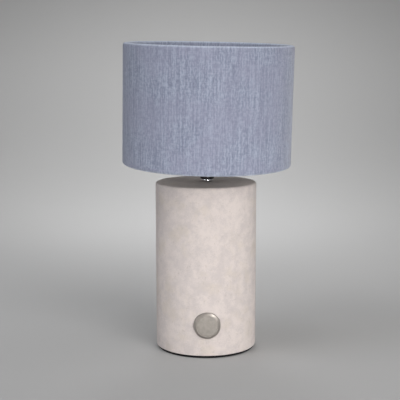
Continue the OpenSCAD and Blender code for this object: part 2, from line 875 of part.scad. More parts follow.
module bulb_housing() {
    color(white_plastic) at_bulb(housing_z) rotate_extrude() polygon([
        [0, 0],
        [bulb_cap_r, 0],
        [housing_neck_r, 1.5],
        [housing_neck_r + 0.8, housing_neck_h],
        [dome_foot_r, dome_z - housing_z],
        [dome_foot_r - 2, dome_z - housing_z],
        [0, dome_z - housing_z]
    ]);
}

module bulb_dome() {
    color(opal) at_bulb(dome_z) difference() {
        intersection() {
            translate([0, 0, dome_below]) sphere(r = bulb_r);
            cylinder(r = bulb_r, h = bulb_d);
        }
        intersection() {
            translate([0, 0, dome_below]) sphere(r = bulb_r - dome_wall);
            translate([0, 0, -1]) cylinder(r = bulb_r, h = bulb_d);
        }
    }
}

// ---- Shade ----

module ring_wire_at(z) {
    translate([0, 0, z]) rotate_extrude() translate([ring_path_r, 0]) circle(wire_r);
}

// Straight wire from a to b
module strut(a, b, r) {
    d = b - a;
    translate(a) rotate([0, 0, atan2(d[1], d[0])]) rotate([0, acos(d[2] / norm(d)), 0])
        cylinder(r = r, h = norm(d));
}

// Plate that the shade rings clamp, with its rim turned down
module shade_fitter() {
    color(white_plastic) at_stem(fitter_z - fitter_t / 2) {
        tube(fitter_d / 2, fitter_hole / 2, fitter_t);
        translate([0, 0, fitter_t - fitter_rim_h]) tube(fitter_d / 2, fitter_d / 2 - fitter_rim_t, fitter_rim_h);
    }
}

// Arms from the fitter's rim to the lower ring, cut to lie against both
module shade_arms() {
    color(white_plastic) difference() {
        at_stem(fitter_z) for (i = [0 : arm_n - 1])
            let (a = 90 + i * 360 / arm_n)
            strut(
                [arm_start_r * cos(a), arm_start_r * sin(a), arm_start_z],
                leaned([ring_path_r * cos(a), ring_path_r * sin(a), low_ring_z]),
                arm_r
            );
        at_stem(fitter_z - fitter_rim_h * 2) cylinder(d = fitter_d, h = fitter_rim_h * 4);
        in_shade() ring_wire_at(low_ring_z);
    }
}

module shade_low_ring() {
    color(white_plastic) in_shade() ring_wire_at(low_ring_z);
}

module shade_top_ring() {
    color(white_plastic) in_shade() ring_wire_at(top_ring_z);
}

module shade_liner() {
    color(white_plastic) in_shade() translate([0, 0, shade_low + fabric_t])
        tube(liner_r, liner_r - liner_t, shade_h - 2 * fabric_t);
}

module shade_fabric() {
    color(linen) in_shade() translate([0, 0, shade_low]) tube(shade_r, liner_r, shade_h);
}

// The fabric's edge, folded in over a wire ring: a hem below its fold
module folded_hem() {
    inner_r = hem_r - fabric_t;
    rotate_extrude() polygon([
        [liner_r, 0],
        [inner_r, 0],
        [inner_r, -hem_h],
        [hem_r, -hem_h],
        [hem_r, -fabric_t],
        [liner_r, -fabric_t]
    ]);
}

module shade_top_hem() {
    color(linen) in_shade() translate([0, 0, shade_top]) folded_hem();
}

// The lower hem is slit where the arms reach the ring
module shade_low_hem() {
    slit_lip = 0.3;
    color(linen) in_shade() difference() {
        translate([0, 0, shade_low]) mirror([0, 0, 1]) folded_hem();
        around(arm_n, hem_r - fabric_t) translate([-2, -arm_notch / 2, shade_low + fabric_t + slit_lip])
            cube([3, arm_notch, hem_h]);
    }
}

// ---- Drawing ----
base_shell();
screw_inserts();
base_plate();
base_plate_screws();
foot_pad();
cord_bush();
cord_bush_nut();
terminal_block();
terminal_tubes();
terminal_screws();
block_screws();
switch_seal();
switch_bezel();
switch_nut();
switch_body();
switch_terminals();
switch_spring();
switch_button();
switch_leads();
stem();
stem_washer();
stem_lock_washer();
stem_nut();
neck_collar();
holder_cap();
cap_lock_screw();
holder_core();
core_terminals();
core_terminal_screws();
screw_shell();
centre_contact();
holder_skirt();
shade_ring_lower();
shade_ring_upper();
holder_leads();
bulb_tip();
bulb_insulator();
bulb_cap();
bulb_housing();
bulb_dome();
shade_fitter();
shade_arms();
shade_low_ring();
shade_top_ring();
shade_liner();
shade_fabric();
shade_top_hem();
shade_low_hem();
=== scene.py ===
import math

import bpy
import numpy as np
from bpy.props import FloatProperty, FloatVectorProperty, PointerProperty
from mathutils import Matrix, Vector


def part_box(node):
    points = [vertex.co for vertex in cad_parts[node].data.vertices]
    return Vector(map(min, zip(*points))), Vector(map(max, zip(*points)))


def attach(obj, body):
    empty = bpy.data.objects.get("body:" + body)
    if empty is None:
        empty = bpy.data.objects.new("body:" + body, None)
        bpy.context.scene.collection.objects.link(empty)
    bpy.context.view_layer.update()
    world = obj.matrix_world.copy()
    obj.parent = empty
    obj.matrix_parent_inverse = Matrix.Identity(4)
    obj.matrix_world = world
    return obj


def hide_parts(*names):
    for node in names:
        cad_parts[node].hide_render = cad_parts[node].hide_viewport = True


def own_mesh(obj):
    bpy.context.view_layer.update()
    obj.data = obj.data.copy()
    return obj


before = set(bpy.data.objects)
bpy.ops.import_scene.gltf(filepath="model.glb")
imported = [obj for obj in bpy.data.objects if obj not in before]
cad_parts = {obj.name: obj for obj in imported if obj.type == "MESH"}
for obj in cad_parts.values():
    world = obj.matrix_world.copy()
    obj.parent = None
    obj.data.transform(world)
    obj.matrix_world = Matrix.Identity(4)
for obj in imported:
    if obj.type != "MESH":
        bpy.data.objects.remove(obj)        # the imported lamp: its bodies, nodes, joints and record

bl_info = {
    "name": "Table Lamp Dressing",
    "version": (1, 0, 0),
    "blender": (4, 5, 0),
    "location": "View3D > Sidebar > Lamp",
    "description": "Gives a packed table lamp its cast body, drum shade, fittings and finishes",
    "category": "Add Mesh",
}

MM = 0.001
TURN = 2 * math.pi
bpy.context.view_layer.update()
WARM = (1.0, 0.975, 0.955)
COOL = (0.79, 0.95, 1.24)
NEUTRAL = (1.0, 1.0, 1.0)

# Cast body and cord bush
CAST_WALL = 16 * MM
PLATE_STEP = 2.5 * MM           # depth of the bottom plate's recess
RECESS_LEDGE = 10 * MM          # width of the ledge that the plate lies against
BOSS_DEPTH = 0.8 * CAST_WALL
SEAT_GAP = 0.3 * MM             # play of a fitting in a cast hole
INSERT_RADIUS = 3 * MM
HEX_SHANK = 5.5 * MM            # from the bush's axis to the middle of a flat
THREADED_END = 5 * MM
BUSH_PITCH = 1.5 * MM
BUSH_THREAD = 0.4 * MM
THREAD_GAP = 0.05 * MM
PLATE_SCREWS = 3
PLATE_SCREW_START = math.radians(30)
# Waves that the wall drifts by: how many a turn has, and their slope up the wall in radians a metre
WALL_WAVES = ((3, 31), (5, -47), (8, 83), (13, -140), (21, 190))

# Push switch
CHAMBER_WALL = 1.1 * MM
CHAMBER_LIP = 0.58 * MM
LIP_DEPTH = 3 * MM
FACE_GAP = 0.05 * MM
FACE_STEP = 0.64 * MM
FACE_CROWN = 0.12 * MM
SHOULDER = 3 * MM
PLUNGER_RADIUS = 3 * MM
BUTTON_TRAVEL = 2 * MM
SPRING_WIRE = 0.8 * MM
SPRING_TURNS = 4
SPRING_FLAT = 0.7               # turns that lie flat at each end
SPRING_GAP = 0.02 * MM

# Lampholder
NECK_HEIGHT = 7 * MM
CAP_CONE = 9 * MM
CAP_WALL = 1.8 * MM
SKIRT_WALL = 2 * MM
SKIRT_PITCH = 2.5 * MM
SKIRT_THREAD = 0.5 * MM
SKIRT_LAND = 0.62               # thread wave above which the groove isn't cut
SHELL_WALL = 0.5 * MM
SHELL_FOOT = 0.8 * MM
SHELL_LIP = 3 * MM
SHELL_PITCH = 3.6 * MM
SHELL_SWING = 0.7 * MM          # from a crest's radius to a root's
SLIDE_GAP = 0.06 * MM
RING_HUB = 2.5 * MM             # wall of a shade ring's hub
RING_FLANGE = 2.5 * MM
RING_GRIPS = 12
GRIP_RADIUS = 1.5 * MM
GRIP_OUT = 0.75 * MM            # from the rim to a grip's centre

# Bulb
CAP_THREAD = 0.75 * MM
HOUSING_STEP = 1.1 * MM
HOUSING_NECK = 8 * MM
DOME_WALL = 1.2 * MM

# Shade
FITTER_RIM = 1.2 * MM
FOLD_RADIUS = 3.1 * MM
LOOSE = 0.5 * MM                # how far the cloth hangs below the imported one
LINER_SET_BACK = 2.6 * MM
CLOTH = 0.8 * MM
CLOTH_ROW = 2 * MM              # between rows of points, and from the low fold to the first row
LINER = 0.6 * MM
HEM = 12 * MM
ARM_AZIMUTHS = [math.radians(90 + 120 * k) for k in range(3)]
SEAM_AZIMUTH = math.radians(104)
SEAM_OVERLAP = 10 * MM

# Studio
SWEEP_REACH = 3.4
SWEEP_CURVE = 2.6
SWEEP_TOP = 2.7
SWEEP_SHEET = 0.05
SENSOR = 36                     # camera's width of film, in millimetres
# Lights turned to the lamp: name, azimuth, rise and distance from a point on the axis, that point's
# height, height of the point that they look at, size, the setting that holds their power and their
# share of it, tint and spread. Angles are in degrees.
LAMP_LIGHTS = (
    ("front_near", 10, 2, 1.3, 0.10, 0.05, 0.2, "front", 0.057, WARM, 60),
    ("front_far", 30, 25, 2.0, 0.2, 0.2, 1.1, "front", 1.3, WARM, 180),
    ("high_left", -60, 60, 2.0, 0.0, 0.1, 0.8, "top", 0.87, NEUTRAL, 180),
    ("high_right", 40, 60, 2.0, 0.0, 0.1, 0.8, "top", 0.38, NEUTRAL, 180),
    ("side_left", -80, 35, 1.6, 0.0, 0.05, 0.16, "side", 1, COOL, 180),
    ("card_left", -58, 14, 1.6, 0.2, 0.2, (0.9, 0.5), "cards", 1.8, NEUTRAL, 180),
    ("card_right", 52, 14, 1.6, 0.2, 0.2, (0.9, 0.5), "cards", 0.5, NEUTRAL, 180),
)
# Lights turned to the floor and wall: name, place, aim, size, share of the back light, and spread
FLOOR_LIGHTS = (
    ("floor_left", (-1, 0.1, 0.6), (-0.5, 0, 0), 0.3, 0.04, 80),
    ("floor_right", (1, 0.1, 0.6), (0.5, 0, 0), 0.3, 0.06, 80),
    ("back_near", (0, 0.8, 0.8), (0, 0.8, 0), 0.5, 0.31, 110),
    ("back_far", (0, 1.4, 1.5), (0, 1.4, 0), 0.5, 0.54, 100),
    ("back_high", (0, 1.2, 1.6), (0, 1.2, 0), 0.5, 0.48, 180),
    ("back_wall", (0, 1.2, 1.5), (0, 2.6, 0.4), 1.0, 0.45, 90),
)


def tone(red, green, blue):
    """A colour given as display values from 0 to 255, as the linear one that shaders take."""
    code = np.array((red, green, blue)) / 255
    return tuple(np.where(code <= 0.04045, code / 12.92, ((code + 0.055) / 1.055) ** 2.4).tolist())


# ---- Places, read from the frame ----

def node_points(node):
    """All corner points of a CAD node, as an array."""
    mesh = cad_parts[node].data
    flat = np.empty(len(mesh.vertices) * 3)
    mesh.vertices.foreach_get("co", flat)
    return flat.reshape(-1, 3)


def middle(node):
    """Middle of a CAD node's box."""
    low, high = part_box(node)
    return np.array((low + high) / 2)


class Place:
    """A local frame: an origin and three axes, of which things are turned about the third."""

    def __init__(self, origin, axis=(0, 0, 1)):
        self.origin = np.array(origin, float)
        up = np.array(axis, float) / np.linalg.norm(axis)
        helper = (0, 1, 0) if abs(up[1]) < 0.9 else (0, 0, 1)
        side = np.cross(helper, up)
        side /= np.linalg.norm(side)
        self.axes = np.array((side, np.cross(up, side), up))

    def world(self, points):
        """Local points in the lamp's frame: the origin plus each coordinate times its axis."""
        return self.origin + np.asarray(points) @ self.axes

    def reach(self, node):
        """How far a CAD node reaches: lowest and highest along the axis, and furthest from it."""
        local = (node_points(node) - self.origin) @ self.axes.T
        return local[:, 2].min(), local[:, 2].max(), np.hypot(local[:, 0], local[:, 1]).max()


UPRIGHT = Place((0, 0, 0))
HOLDER = Place(middle("stem") * (1, 1, 0))
SWITCH = Place(middle("switch_seal") * (1, 0, 1), (0, -1, 0))
INLET = Place(middle("cord_bush") * (1, 0, 1), (0, 1, 0))
DRUM = Place(middle("shade_low_ring"), middle("shade_top_ring") - middle("shade_low_ring"))


# ---- Surfaces worked out as whole arrays ----

def outline(corners, arc_steps=6, closed=True):
    """Outline through corners (r, z, fillet, step), of which the last two may be left out. At a
    filleted corner an arc touches both sides: its centre is on the bisector, fillet / sin(half the
    corner's angle) away. With a step, the run after the corner is split into pieces no longer than
    that."""
    at = np.array([c[:2] for c in corners], float)
    fillets = [c[2] if len(c) > 2 else 0 for c in corners]
    steps = [c[3] if len(c) > 3 else math.inf for c in corners]
    arcs = []
    for k, here in enumerate(at):
        if fillets[k] == 0:
            arcs.append(here[None])
            continue
        back, ahead = at[k - 1] - here, at[(k + 1) % len(at)] - here
        back, ahead = back / np.linalg.norm(back), ahead / np.linalg.norm(ahead)
        half = math.acos(np.clip(back @ ahead, -1, 1)) / 2
        bisector = (back + ahead) / np.linalg.norm(back + ahead)
        centre = here + bisector * fillets[k] / math.sin(half)
        start = here + back * fillets[k] / math.tan(half) - centre
        end = here + ahead * fillets[k] / math.tan(half) - centre
        first = math.atan2(start[1], start[0])
        sweep = (math.atan2(end[1], end[0]) - first + math.pi) % TURN - math.pi
        angle = first + sweep * np.linspace(0, 1, arc_steps + 1)
        arcs.append(centre + fillets[k] * np.stack((np.cos(angle), np.sin(angle)), axis=1))
    runs = []
    for k, arc in enumerate(arcs):
        runs.append(arc)
        if k + 1 < len(arcs) or closed:
            gap = arcs[(k + 1) % len(arcs)][0] - arc[-1]
            pieces = math.ceil(np.linalg.norm(gap) / steps[k]) if math.isfinite(steps[k]) else 1
            runs.append(arc[-1] + gap * (np.arange(1, pieces) / max(pieces, 1))[:, None])
    return np.concatenate(runs)


def grid_faces(rows, columns, close_columns):
    """Quads of a grid whose point (i, j) is number i * columns + j, with its last row joined to its
    first."""
    last = columns if close_columns else columns - 1
    i, j = (a.ravel() for a in np.meshgrid(np.arange(rows), np.arange(last), indexing="ij"))
    i2, j2 = (i + 1) % rows, (j + 1) % columns
    here, there = i * columns, i2 * columns
    return np.stack((here + j, there + j, there + j2, here + j2), axis=1)


def fans(rows, columns):
    """Triangles that close both ends of an open grid, each round a point that follows the grid's
    own."""
    start = np.arange(rows) * columns
    end = start + columns - 1
    tips = np.full((2, rows), rows * columns) + [[0], [1]]
    return [
        np.stack((tips[0], np.roll(start, -1), start), axis=1),
        np.stack((tips[1], end, np.roll(end, -1)), axis=1),
    ]


def volume(points, faces):
    """Signed volume: a sixth of the sum of a . (b x c) over the faces' triangles, above 0 if they
    face out."""
    total = 0
    for b, c in ((1, 2), (2, 3))[:faces.shape[1] - 2]:
        normals = np.cross(points[faces[:, b]], points[faces[:, c]])
        total += (points[faces[:, 0]] * normals).sum() / 6
    return total


def form(name, points, groups, uv=None, sharp=35):
    """Object from points and groups of faces, turned to face outwards. Edges bent by more than the
    sharp angle, in degrees, stay crisp. uv has a pair for each corner of the faces."""
    if sum(volume(points, faces) for faces in groups) < 0:
        groups = [faces[:, ::-1] for faces in groups]
        uv = None if uv is None else uv[:, ::-1]
    mesh = bpy.data.meshes.new(name)
    mesh.from_pydata(points, [], [face for faces in groups for face in faces.tolist()])
    if uv is not None:
        layer = mesh.uv_layers.new(name="cloth")
        layer.data.foreach_set("uv", np.ascontiguousarray(uv, np.float32).ravel())
    mesh.shade_smooth()
    mesh.set_sharp_from_angle(angle=math.radians(sharp))
    piece = bpy.data.objects.new(name, mesh)
    bpy.context.scene.collection.objects.link(piece)
    return piece


def lathe(name, place, profile, steps=96, shape=None, sharp=35, cloth=False):
    """Surface of revolution: point (t, s) is (r cos t, r sin t, z) in the place's frame, with r and
    z from the profile at s. steps is how many angles t a turn has, or the angles. shape takes the
    arrays t, r and z, and returns a new r and z. A profile that starts and ends on the axis has a
    pole at each end, and any other closes on itself. cloth adds a UV map in metres: round the
    surface, and along the profile."""
    t = np.arange(steps) * TURN / steps if np.isscalar(steps) else steps
    steps = len(t)
    poles = profile[0, 0] == 0 and profile[-1, 0] == 0
    inner = profile[1:-1] if poles else profile
    turn, r = np.meshgrid(t, inner[:, 0], indexing="ij")
    z = np.broadcast_to(inner[:, 1], r.shape)
    if shape is not None:
        r, z = shape(turn, r, z)
    spots = np.stack((r * np.cos(turn), r * np.sin(turn), z), axis=-1)
    points = place.world(spots.reshape(-1, 3))
    columns = len(inner)
    groups = [grid_faces(steps, columns, not poles)]
    if poles:
        groups += fans(steps, columns)
        tips = place.world([(0, 0, profile[0, 1]), (0, 0, profile[-1, 1])])
        points = np.concatenate((points, tips))
    uv = cloth_map(t, profile) if cloth else None
    return form(name, points, groups, uv, sharp)


def cloth_map(t, profile):
    """UV pairs for each corner of a closed lathe grid: the arc length round the largest radius, and
    the length run along the profile. The last row and column run on instead of going back to 0."""
    radius = profile[:, 0].max()
    run = np.concatenate(([0], np.linalg.norm(np.diff(profile, axis=0), axis=1).cumsum()))
    loop = run[-1] + np.linalg.norm(profile[0] - profile[-1])
    u, u_next = t * radius, np.append(t[1:], TURN) * radius
    v, v_next = run, np.append(run[1:], loop)
    grid = np.meshgrid(np.arange(len(t)), np.arange(len(profile)), indexing="ij")
    i, j = (a.ravel() for a in grid)
    corners = ((u[i], v[j]), (u_next[i], v[j]), (u_next[i], v_next[j]), (u[i], v_next[j]))
    return np.stack([np.stack(pair, axis=1) for pair in corners], axis=1)


def prism(name, place, polygon, low, high):
    """Bar with a convex polygon as its section, from low to high along the place's axis."""
    count = len(polygon)
    points = np.concatenate([np.column_stack((polygon, np.full(count, z))) for z in (low, high)])
    k = np.arange(count)
    k2 = (k + 1) % count
    walls = np.stack((k, k2, k2 + count, k + count), axis=1)
    lid = np.stack((np.zeros(count - 2, int), k[1:-1], k[2:]), axis=1)
    return form(name, place.world(points), [walls, lid[:, ::-1], lid + count], sharp=30)


def settle(piece):
    """Makes the modifiers' result the piece's own mesh."""
    graph = bpy.context.evaluated_depsgraph_get()
    piece.data = bpy.data.meshes.new_from_object(piece.evaluated_get(graph))
    piece.modifiers.clear()


def carve(piece, cutters, sharp=35, bosses=()):
    """Joins the bosses to the piece, cuts the cutters' shapes out of it, and takes them all
    away."""
    for operation, tools in (("UNION", bosses), ("DIFFERENCE", cutters)):
        for tool in tools:
            cut = piece.modifiers.new("cut", "BOOLEAN")
            cut.operation, cut.solver, cut.object = operation, "EXACT", tool
    settle(piece)
    for tool in (*cutters, *bosses):
        bpy.data.objects.remove(tool)
    piece.data.shade_smooth()
    piece.data.set_sharp_from_angle(angle=math.radians(sharp))


def dress(piece, body, material, nodes):
    """Gives the piece its finish, lets it ride on its body, and hides the CAD nodes that it stands
    for."""
    piece.data.materials.clear()
    piece.data.materials.append(material)
    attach(piece, body)
    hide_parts(*nodes)


# ---- Finishes ----

class Wire:
    """An output socket. Its operators add Math nodes, so that shader maths reads as an
    expression."""

    def __init__(self, graph, socket):
        self.graph = graph
        self.socket = socket

    def maths(self, operation, *values):
        """Wire of a new Math node with these values or wires."""
        return self.graph.node("ShaderNodeMath", {"operation": operation}, dict(enumerate(values)))

    def __add__(self, other):
        return self.maths("ADD", self, other)

    def __radd__(self, other):
        return self.maths("ADD", other, self)

    def __sub__(self, other):
        return self.maths("SUBTRACT", self, other)

    def __rsub__(self, other):
        return self.maths("SUBTRACT", other, self)

    def __mul__(self, other):
        return self.maths("MULTIPLY", self, other)

    def __rmul__(self, other):
        return self.maths("MULTIPLY", other, self)

    def __truediv__(self, other):
        return self.maths("DIVIDE", self, other)

    def __pow__(self, other):
        return self.maths("POWER", self, other)

    def sine(self):
        """The sine of the value in radians."""
        return self.maths("SINE", self)

    def size(self):
        """The value without its sign."""
        return self.maths("ABSOLUTE", self)

    def whole(self):
        """The value cut down to a whole number."""
        return self.maths("FLOOR", self)

    def above(self, low, high):
        """0 below low, 1 above high, and smooth in between; with low above high, the other way
        round."""
        ends = {"Value": self, "From Min": low, "From Max": high}
        return self.graph.node("ShaderNodeMapRange", {"interpolation_type": "SMOOTHSTEP"}, ends)


class Graph:
    """The node graph of one finish."""

    def __init__(self, name):
        self.material = bpy.data.materials.new(name)
        self.material.use_nodes = True
        self.tree = self.material.node_tree
        self.tree.nodes.clear()

    def node(self, kind, settings=None, inputs=None, output=0):
        """Adds a node: its settings first, then its sockets' values or links. Gives its output's
        Wire."""
        made = self.tree.nodes.new(kind)
        for key, value in (settings or {}).items():
            setattr(made, key, value)
        for key, value in (inputs or {}).items():
            if isinstance(value, Wire):
                self.tree.links.new(value.socket, made.inputs[key])
            else:
                made.inputs[key].default_value = value
        return Wire(self, made.outputs[output]) if len(made.outputs) else None

    def place(self, centre=(0, 0, 0), stretch=(1, 1, 1)):
        """Object coordinates in metres, from the centre, times the stretch."""
        spot = self.node("ShaderNodeTexCoord", output="Object")
        for operation, by in (("SUBTRACT", centre), ("MULTIPLY", stretch)):
            inputs = {0: spot, 1: tuple(by)}
            spot = self.node("ShaderNodeVectorMath", {"operation": operation}, inputs)
        return spot

    def cloth(self):
        """The cloth's own map in metres: round the drum, and along the run of the cloth."""
        spot = self.node("ShaderNodeUVMap", {"uv_map": "cloth"})
        return self.part(spot, 0), self.part(spot, 1)

    def part(self, vector, axis):
        """One coordinate of a vector: 0, 1 or 2."""
        return self.node("ShaderNodeSeparateXYZ", {}, {"Vector": vector}, axis)

    def point(self, x, y, z=0.0):
        """A vector from its coordinates."""
        return self.node("ShaderNodeCombineXYZ", {}, {"X": x, "Y": y, "Z": z})

    def noise(self, vector, scale, detail=2.0, roughness=0.5):
        """Noise of about scale cells a metre, with detail finer layers, each roughness times as
        strong."""
        inputs = {"Vector": vector, "Scale": scale, "Detail": detail, "Roughness": roughness}
        return self.node("ShaderNodeTexNoise", {}, inputs)

    def cells(self, vector, scale):
        """Distance from each of many scattered spots, in cells."""
        return self.node("ShaderNodeTexVoronoi", {}, {"Vector": vector, "Scale": scale}, "Distance")

    def mix(self, share, one, other):
        """One colour where the share is 0, and the other where it is 1. A colour is a tuple or a
        wire."""
        inputs = {0: share}
        for socket, tint in ((6, one), (7, other)):
            inputs[socket] = (*tint, 1) if isinstance(tint, tuple) else tint
        return self.node("ShaderNodeMix", {"data_type": "RGBA"}, inputs, 2)

    def bump(self, height, depth, under=None):
        """Relief of that depth in metres where the height goes from 0 to 1, on top of the one under
        it."""
        inputs = {"Height": height, "Distance": depth, "Strength": 1.0}
        if under is not None:
            inputs["Normal"] = under
        return self.node("ShaderNodeBump", {}, inputs)

    def surface(self, inputs):
        """The Principled shader, with the given sockets set, as the finish's surface."""
        shader = self.node("ShaderNodeBsdfPrincipled", {}, inputs)
        self.node("ShaderNodeOutputMaterial", {}, {"Surface": shader})


def recipe(name):
    """Turns a function that draws a graph into one that gives the finished material, drawn only
    once."""
    def wrap(draw):
        """The function that gives the material which this one draws."""
        def give():
            """The material, drawn the first time it is asked for."""
            if name not in bpy.data.materials:
                draw(Graph(name))
            return bpy.data.materials[name]
        return give
    return wrap


def colour(group, name):
    """A colour property of the scene, as three plain numbers."""
    return tuple(getattr(getattr(bpy.context.scene, group), name))


def dyed(tint, share):
    """A colour times a share, kept within 1."""
    return tuple(min(1, c * share) for c in tint)


@recipe("fine_concrete")
def concrete(graph):
    """Fine cast concrete. Pale and grey clouds of several widths, a few warmer patches, small
    darker spots where sand shows, a fine grain, and pinholes that the air left. Relief follows the
    grain and pinholes."""
    spot = graph.place()
    broad = graph.noise(spot, 30.0, 3.0, 0.55)
    middling = graph.noise(graph.place((0.2, 0.4, 0.1)), 110.0, 4.0, 0.62)
    patch = graph.noise(graph.place((0.3, 0.1, 0.7)), 38.0, 4.0, 0.6).above(0.5, 0.68)
    speck = graph.noise(spot, 330.0, 2.0, 0.6).above(0.6, 0.74)
    grain = graph.noise(spot, 700.0, 3.0, 0.7)
    holes = graph.cells(spot, 230.0).above(0.1, 0.05) * graph.noise(spot, 45.0).above(0.52, 0.62)
    cloud = (broad * 0.28 + middling * 0.44 + grain * 0.28).above(0.4, 0.6)
    shade = graph.mix(cloud, colour("lamp_body", "grey"), colour("lamp_body", "pale"))
    shade = graph.mix(patch * 0.4, shade, colour("lamp_body", "warm"))
    shade = graph.mix(speck * 0.24, shade, colour("lamp_body", "sand"))
    shade = graph.mix(holes * 0.5, shade, colour("lamp_body", "sand"))
    relief = graph.bump(middling, 0.15 * MM)
    relief = graph.bump(grain, 0.06 * MM, under=relief)
    relief = graph.bump(1 - holes, 0.35 * MM, under=relief)
    graph.surface({
        "Base Color": shade,
        "Roughness": 0.84 + 0.1 * cloud,
        "Specular IOR Level": 0.3,
        "Normal": relief,
    })


def fold_middles():
    """Where the middles of the top and the low fold lie along the cloth's map. The top one is the
    outer wall and a quarter circle on from the first row. The low one is a quarter circle and a row
    back from the loop's end. The loop is both walls, four half circles, and both hems out and
    back."""
    low, high, _ = DRUM.reach("shade_fabric")
    wall = high - low + LOOSE - 2 * FOLD_RADIUS
    quarter = math.pi / 2 * FOLD_RADIUS
    loop = 2 * (wall + CLOTH) + 8 * quarter - TURN * CLOTH + 4 * (HEM - FOLD_RADIUS)
    return wall - CLOTH_ROW + quarter, loop - CLOTH_ROW - quarter


@recipe("drum_linen")
def linen(graph):
    """Plain weave of uneven yarn. Upright yarns have slubs, which are long noise cells drawn out
    along the yarn, and each yarn has its own tone; short flecks sit where a thick yarn comes up;
    level yarns drift more slowly. Painted shade darkens the dips between neighbouring yarns. Where
    the cloth turns over a ring, a quarter circle either way from a fold's middle, the stretched
    yarns are paler and a painted highlight is laid over them. Relief follows the yarns as they pass
    over each other, and the slubs."""
    look = bpy.context.scene.lamp_shade
    across, along = graph.cloth()
    yarn = across / look.yarn_pitch
    pick = along / (look.yarn_pitch * 0.8)
    slub = graph.noise(graph.point(across * 520, along * 34), 1.0, 2.0, 0.6).above(0.36, 0.64)
    long_slub = graph.noise(graph.point(across * 300 + 40, along * 7), 1.0, 2.0).above(0.35, 0.65)
    fleck = graph.noise(graph.point(across * 560 + 7, along * 230), 1.0, 2.0, 0.6).above(0.38, 0.62)
    lone = graph.noise(graph.point(yarn.whole() * 3.7, along * 70), 1.0, 1.0).above(0.3, 0.7)
    level = graph.noise(graph.point(across * 130, pick.whole() * 2.3), 1.0, 1.0).above(0.3, 0.7)
    drift = graph.noise(graph.point(across * 26, along * 26), 1.0, 2.0)
    streak = slub * 0.24 + long_slub * 0.18 + fleck * 0.27 + lone * 0.15 + level * 0.16
    over = ((yarn * math.pi).sine().size() + (pick * math.pi).sine().size()) * 0.5
    share = streak.above(0.12, 0.88) * 0.94 + drift * 0.06
    shade = graph.mix(share, colour("lamp_shade", "deep"), colour("lamp_shade", "light"))
    shade = graph.mix(drift.above(0.35, 0.65) * 0.4, shade, colour("lamp_shade", "violet"))
    # Painted shade: darker towards the deep yarn in the dips between neighbouring yarns
    shade = graph.mix(over.above(0.42, 0.15) * 0.3, shade, colour("lamp_shade", "deep"))
    # Painted highlight on the folds, together with paler stretched yarns: a pale tone a quarter
    # circle either way from each fold's middle, where light would catch the cloth as it turns over a
    # ring
    quarter = math.pi / 2 * FOLD_RADIUS
    top, foot = ((1 - (along - at).size() / quarter).above(0.16, 0.65) for at in fold_middles())
    fold = top + foot
    shade = graph.mix(fold * (0.35 + 0.4 * streak), shade, colour("lamp_shade", "stretch_and_highlight"))
    relief = graph.bump(over, 0.16 * MM)
    relief = graph.bump(streak, 0.3 * MM, under=relief)
    graph.surface({
        "Base Color": shade,
        "Roughness": 0.92 - 0.1 * streak,
        "Specular IOR Level": 0.25,
        "Sheen Weight": 0.3,
        "Sheen Roughness": 0.35,
        "Normal": relief,
    })


def spun(graph, tint, centre, rough, depth=0.012, pitch=0.22):
    """Cast metal skimmed on a lathe: fine rings round the centre of a face that looks to the front,
    and a dull oxide film in patches, which takes the shine off and darkens the tint."""
    spot = graph.place(centre)
    x, z = graph.part(spot, 0), graph.part(spot, 2)
    radius = (x * x + z * z) ** 0.5
    rings = graph.noise(graph.point(radius / (pitch * MM), 0.0), 1.0, 3.0, 0.7)
    film = graph.noise(spot, 260.0, 4.0, 0.65).above(0.34, 0.7)
    shade = graph.mix(film * 0.6, tint, dyed(tint, 0.72))
    shade = graph.mix(rings.above(0.35, 0.75) * 0.25, shade, dyed(tint, 1.2))
    graph.surface({
        "Base Color": shade,
        "Metallic": 0.8 - 0.3 * film,
        "Roughness": rough + 0.12 * film + 0.06 * rings,
        "Normal": graph.bump(rings, depth * MM),
    })


def plated(graph, tint, rough, smear=0.06):
    """Plated metal: even, with faint smears that change only the gloss, and a slight waviness."""
    spot = graph.place()
    smears = graph.noise(spot, 160.0, 4.0, 0.6)
    graph.surface({
        "Base Color": graph.mix(smears.above(0.4, 0.8) * 0.12, tint, dyed(tint, 0.8)),
        "Metallic": 1.0,
        "Roughness": rough + smear * smears,
        "Normal": graph.bump(graph.noise(spot, 500.0, 2.0), 0.004 * MM),
    })


def moulded(graph, tint, rough, grain=0.02, coat=0.0):
    """Moulded plastic: one tint with a slight drift, a fine mould grain, and gloss that varies a
    little."""
    spot = graph.place()
    drift = graph.noise(spot, 60.0, 3.0)
    graph.surface({
        "Base Color": graph.mix(drift, dyed(tint, 0.92), dyed(tint, 1.06)),
        "Roughness": rough + 0.08 * drift,
        "Coat Weight": coat,
        "Coat Roughness": 0.1,
        "Normal": graph.bump(graph.noise(spot, 2600.0, 2.0), grain * MM),
    })


@recipe("foot_foam")
def rubber(graph):
    """Dense black foam rubber, with fine open pores."""
    spot = graph.place()
    pores = graph.cells(spot, 1400.0)
    tint = colour("lamp_body", "foot")
    graph.surface({
        "Base Color": graph.mix(pores, dyed(tint, 0.5), tint),
        "Roughness": 0.9,
        "Specular IOR Level": 0.2,
        "Normal": graph.bump(pores, 0.2 * MM),
    })


@recipe("liner_sheet")
def liner_sheet(graph):
    """White styrene sheet behind the cloth: satin, with a faint print of the cloth's yarns."""
    spot = graph.place()
    print_through = graph.noise(graph.place(stretch=(700, 700, 30)), 1.0, 2.0)
    drift = graph.noise(spot, 30.0, 2.0)
    tint = colour("lamp_shade", "liner")
    graph.surface({
        "Base Color": graph.mix(drift, dyed(tint, 0.94), tint),
        "Roughness": 0.45 + 0.1 * print_through,
        "Normal": graph.bump(print_through, 0.02 * MM),
    })


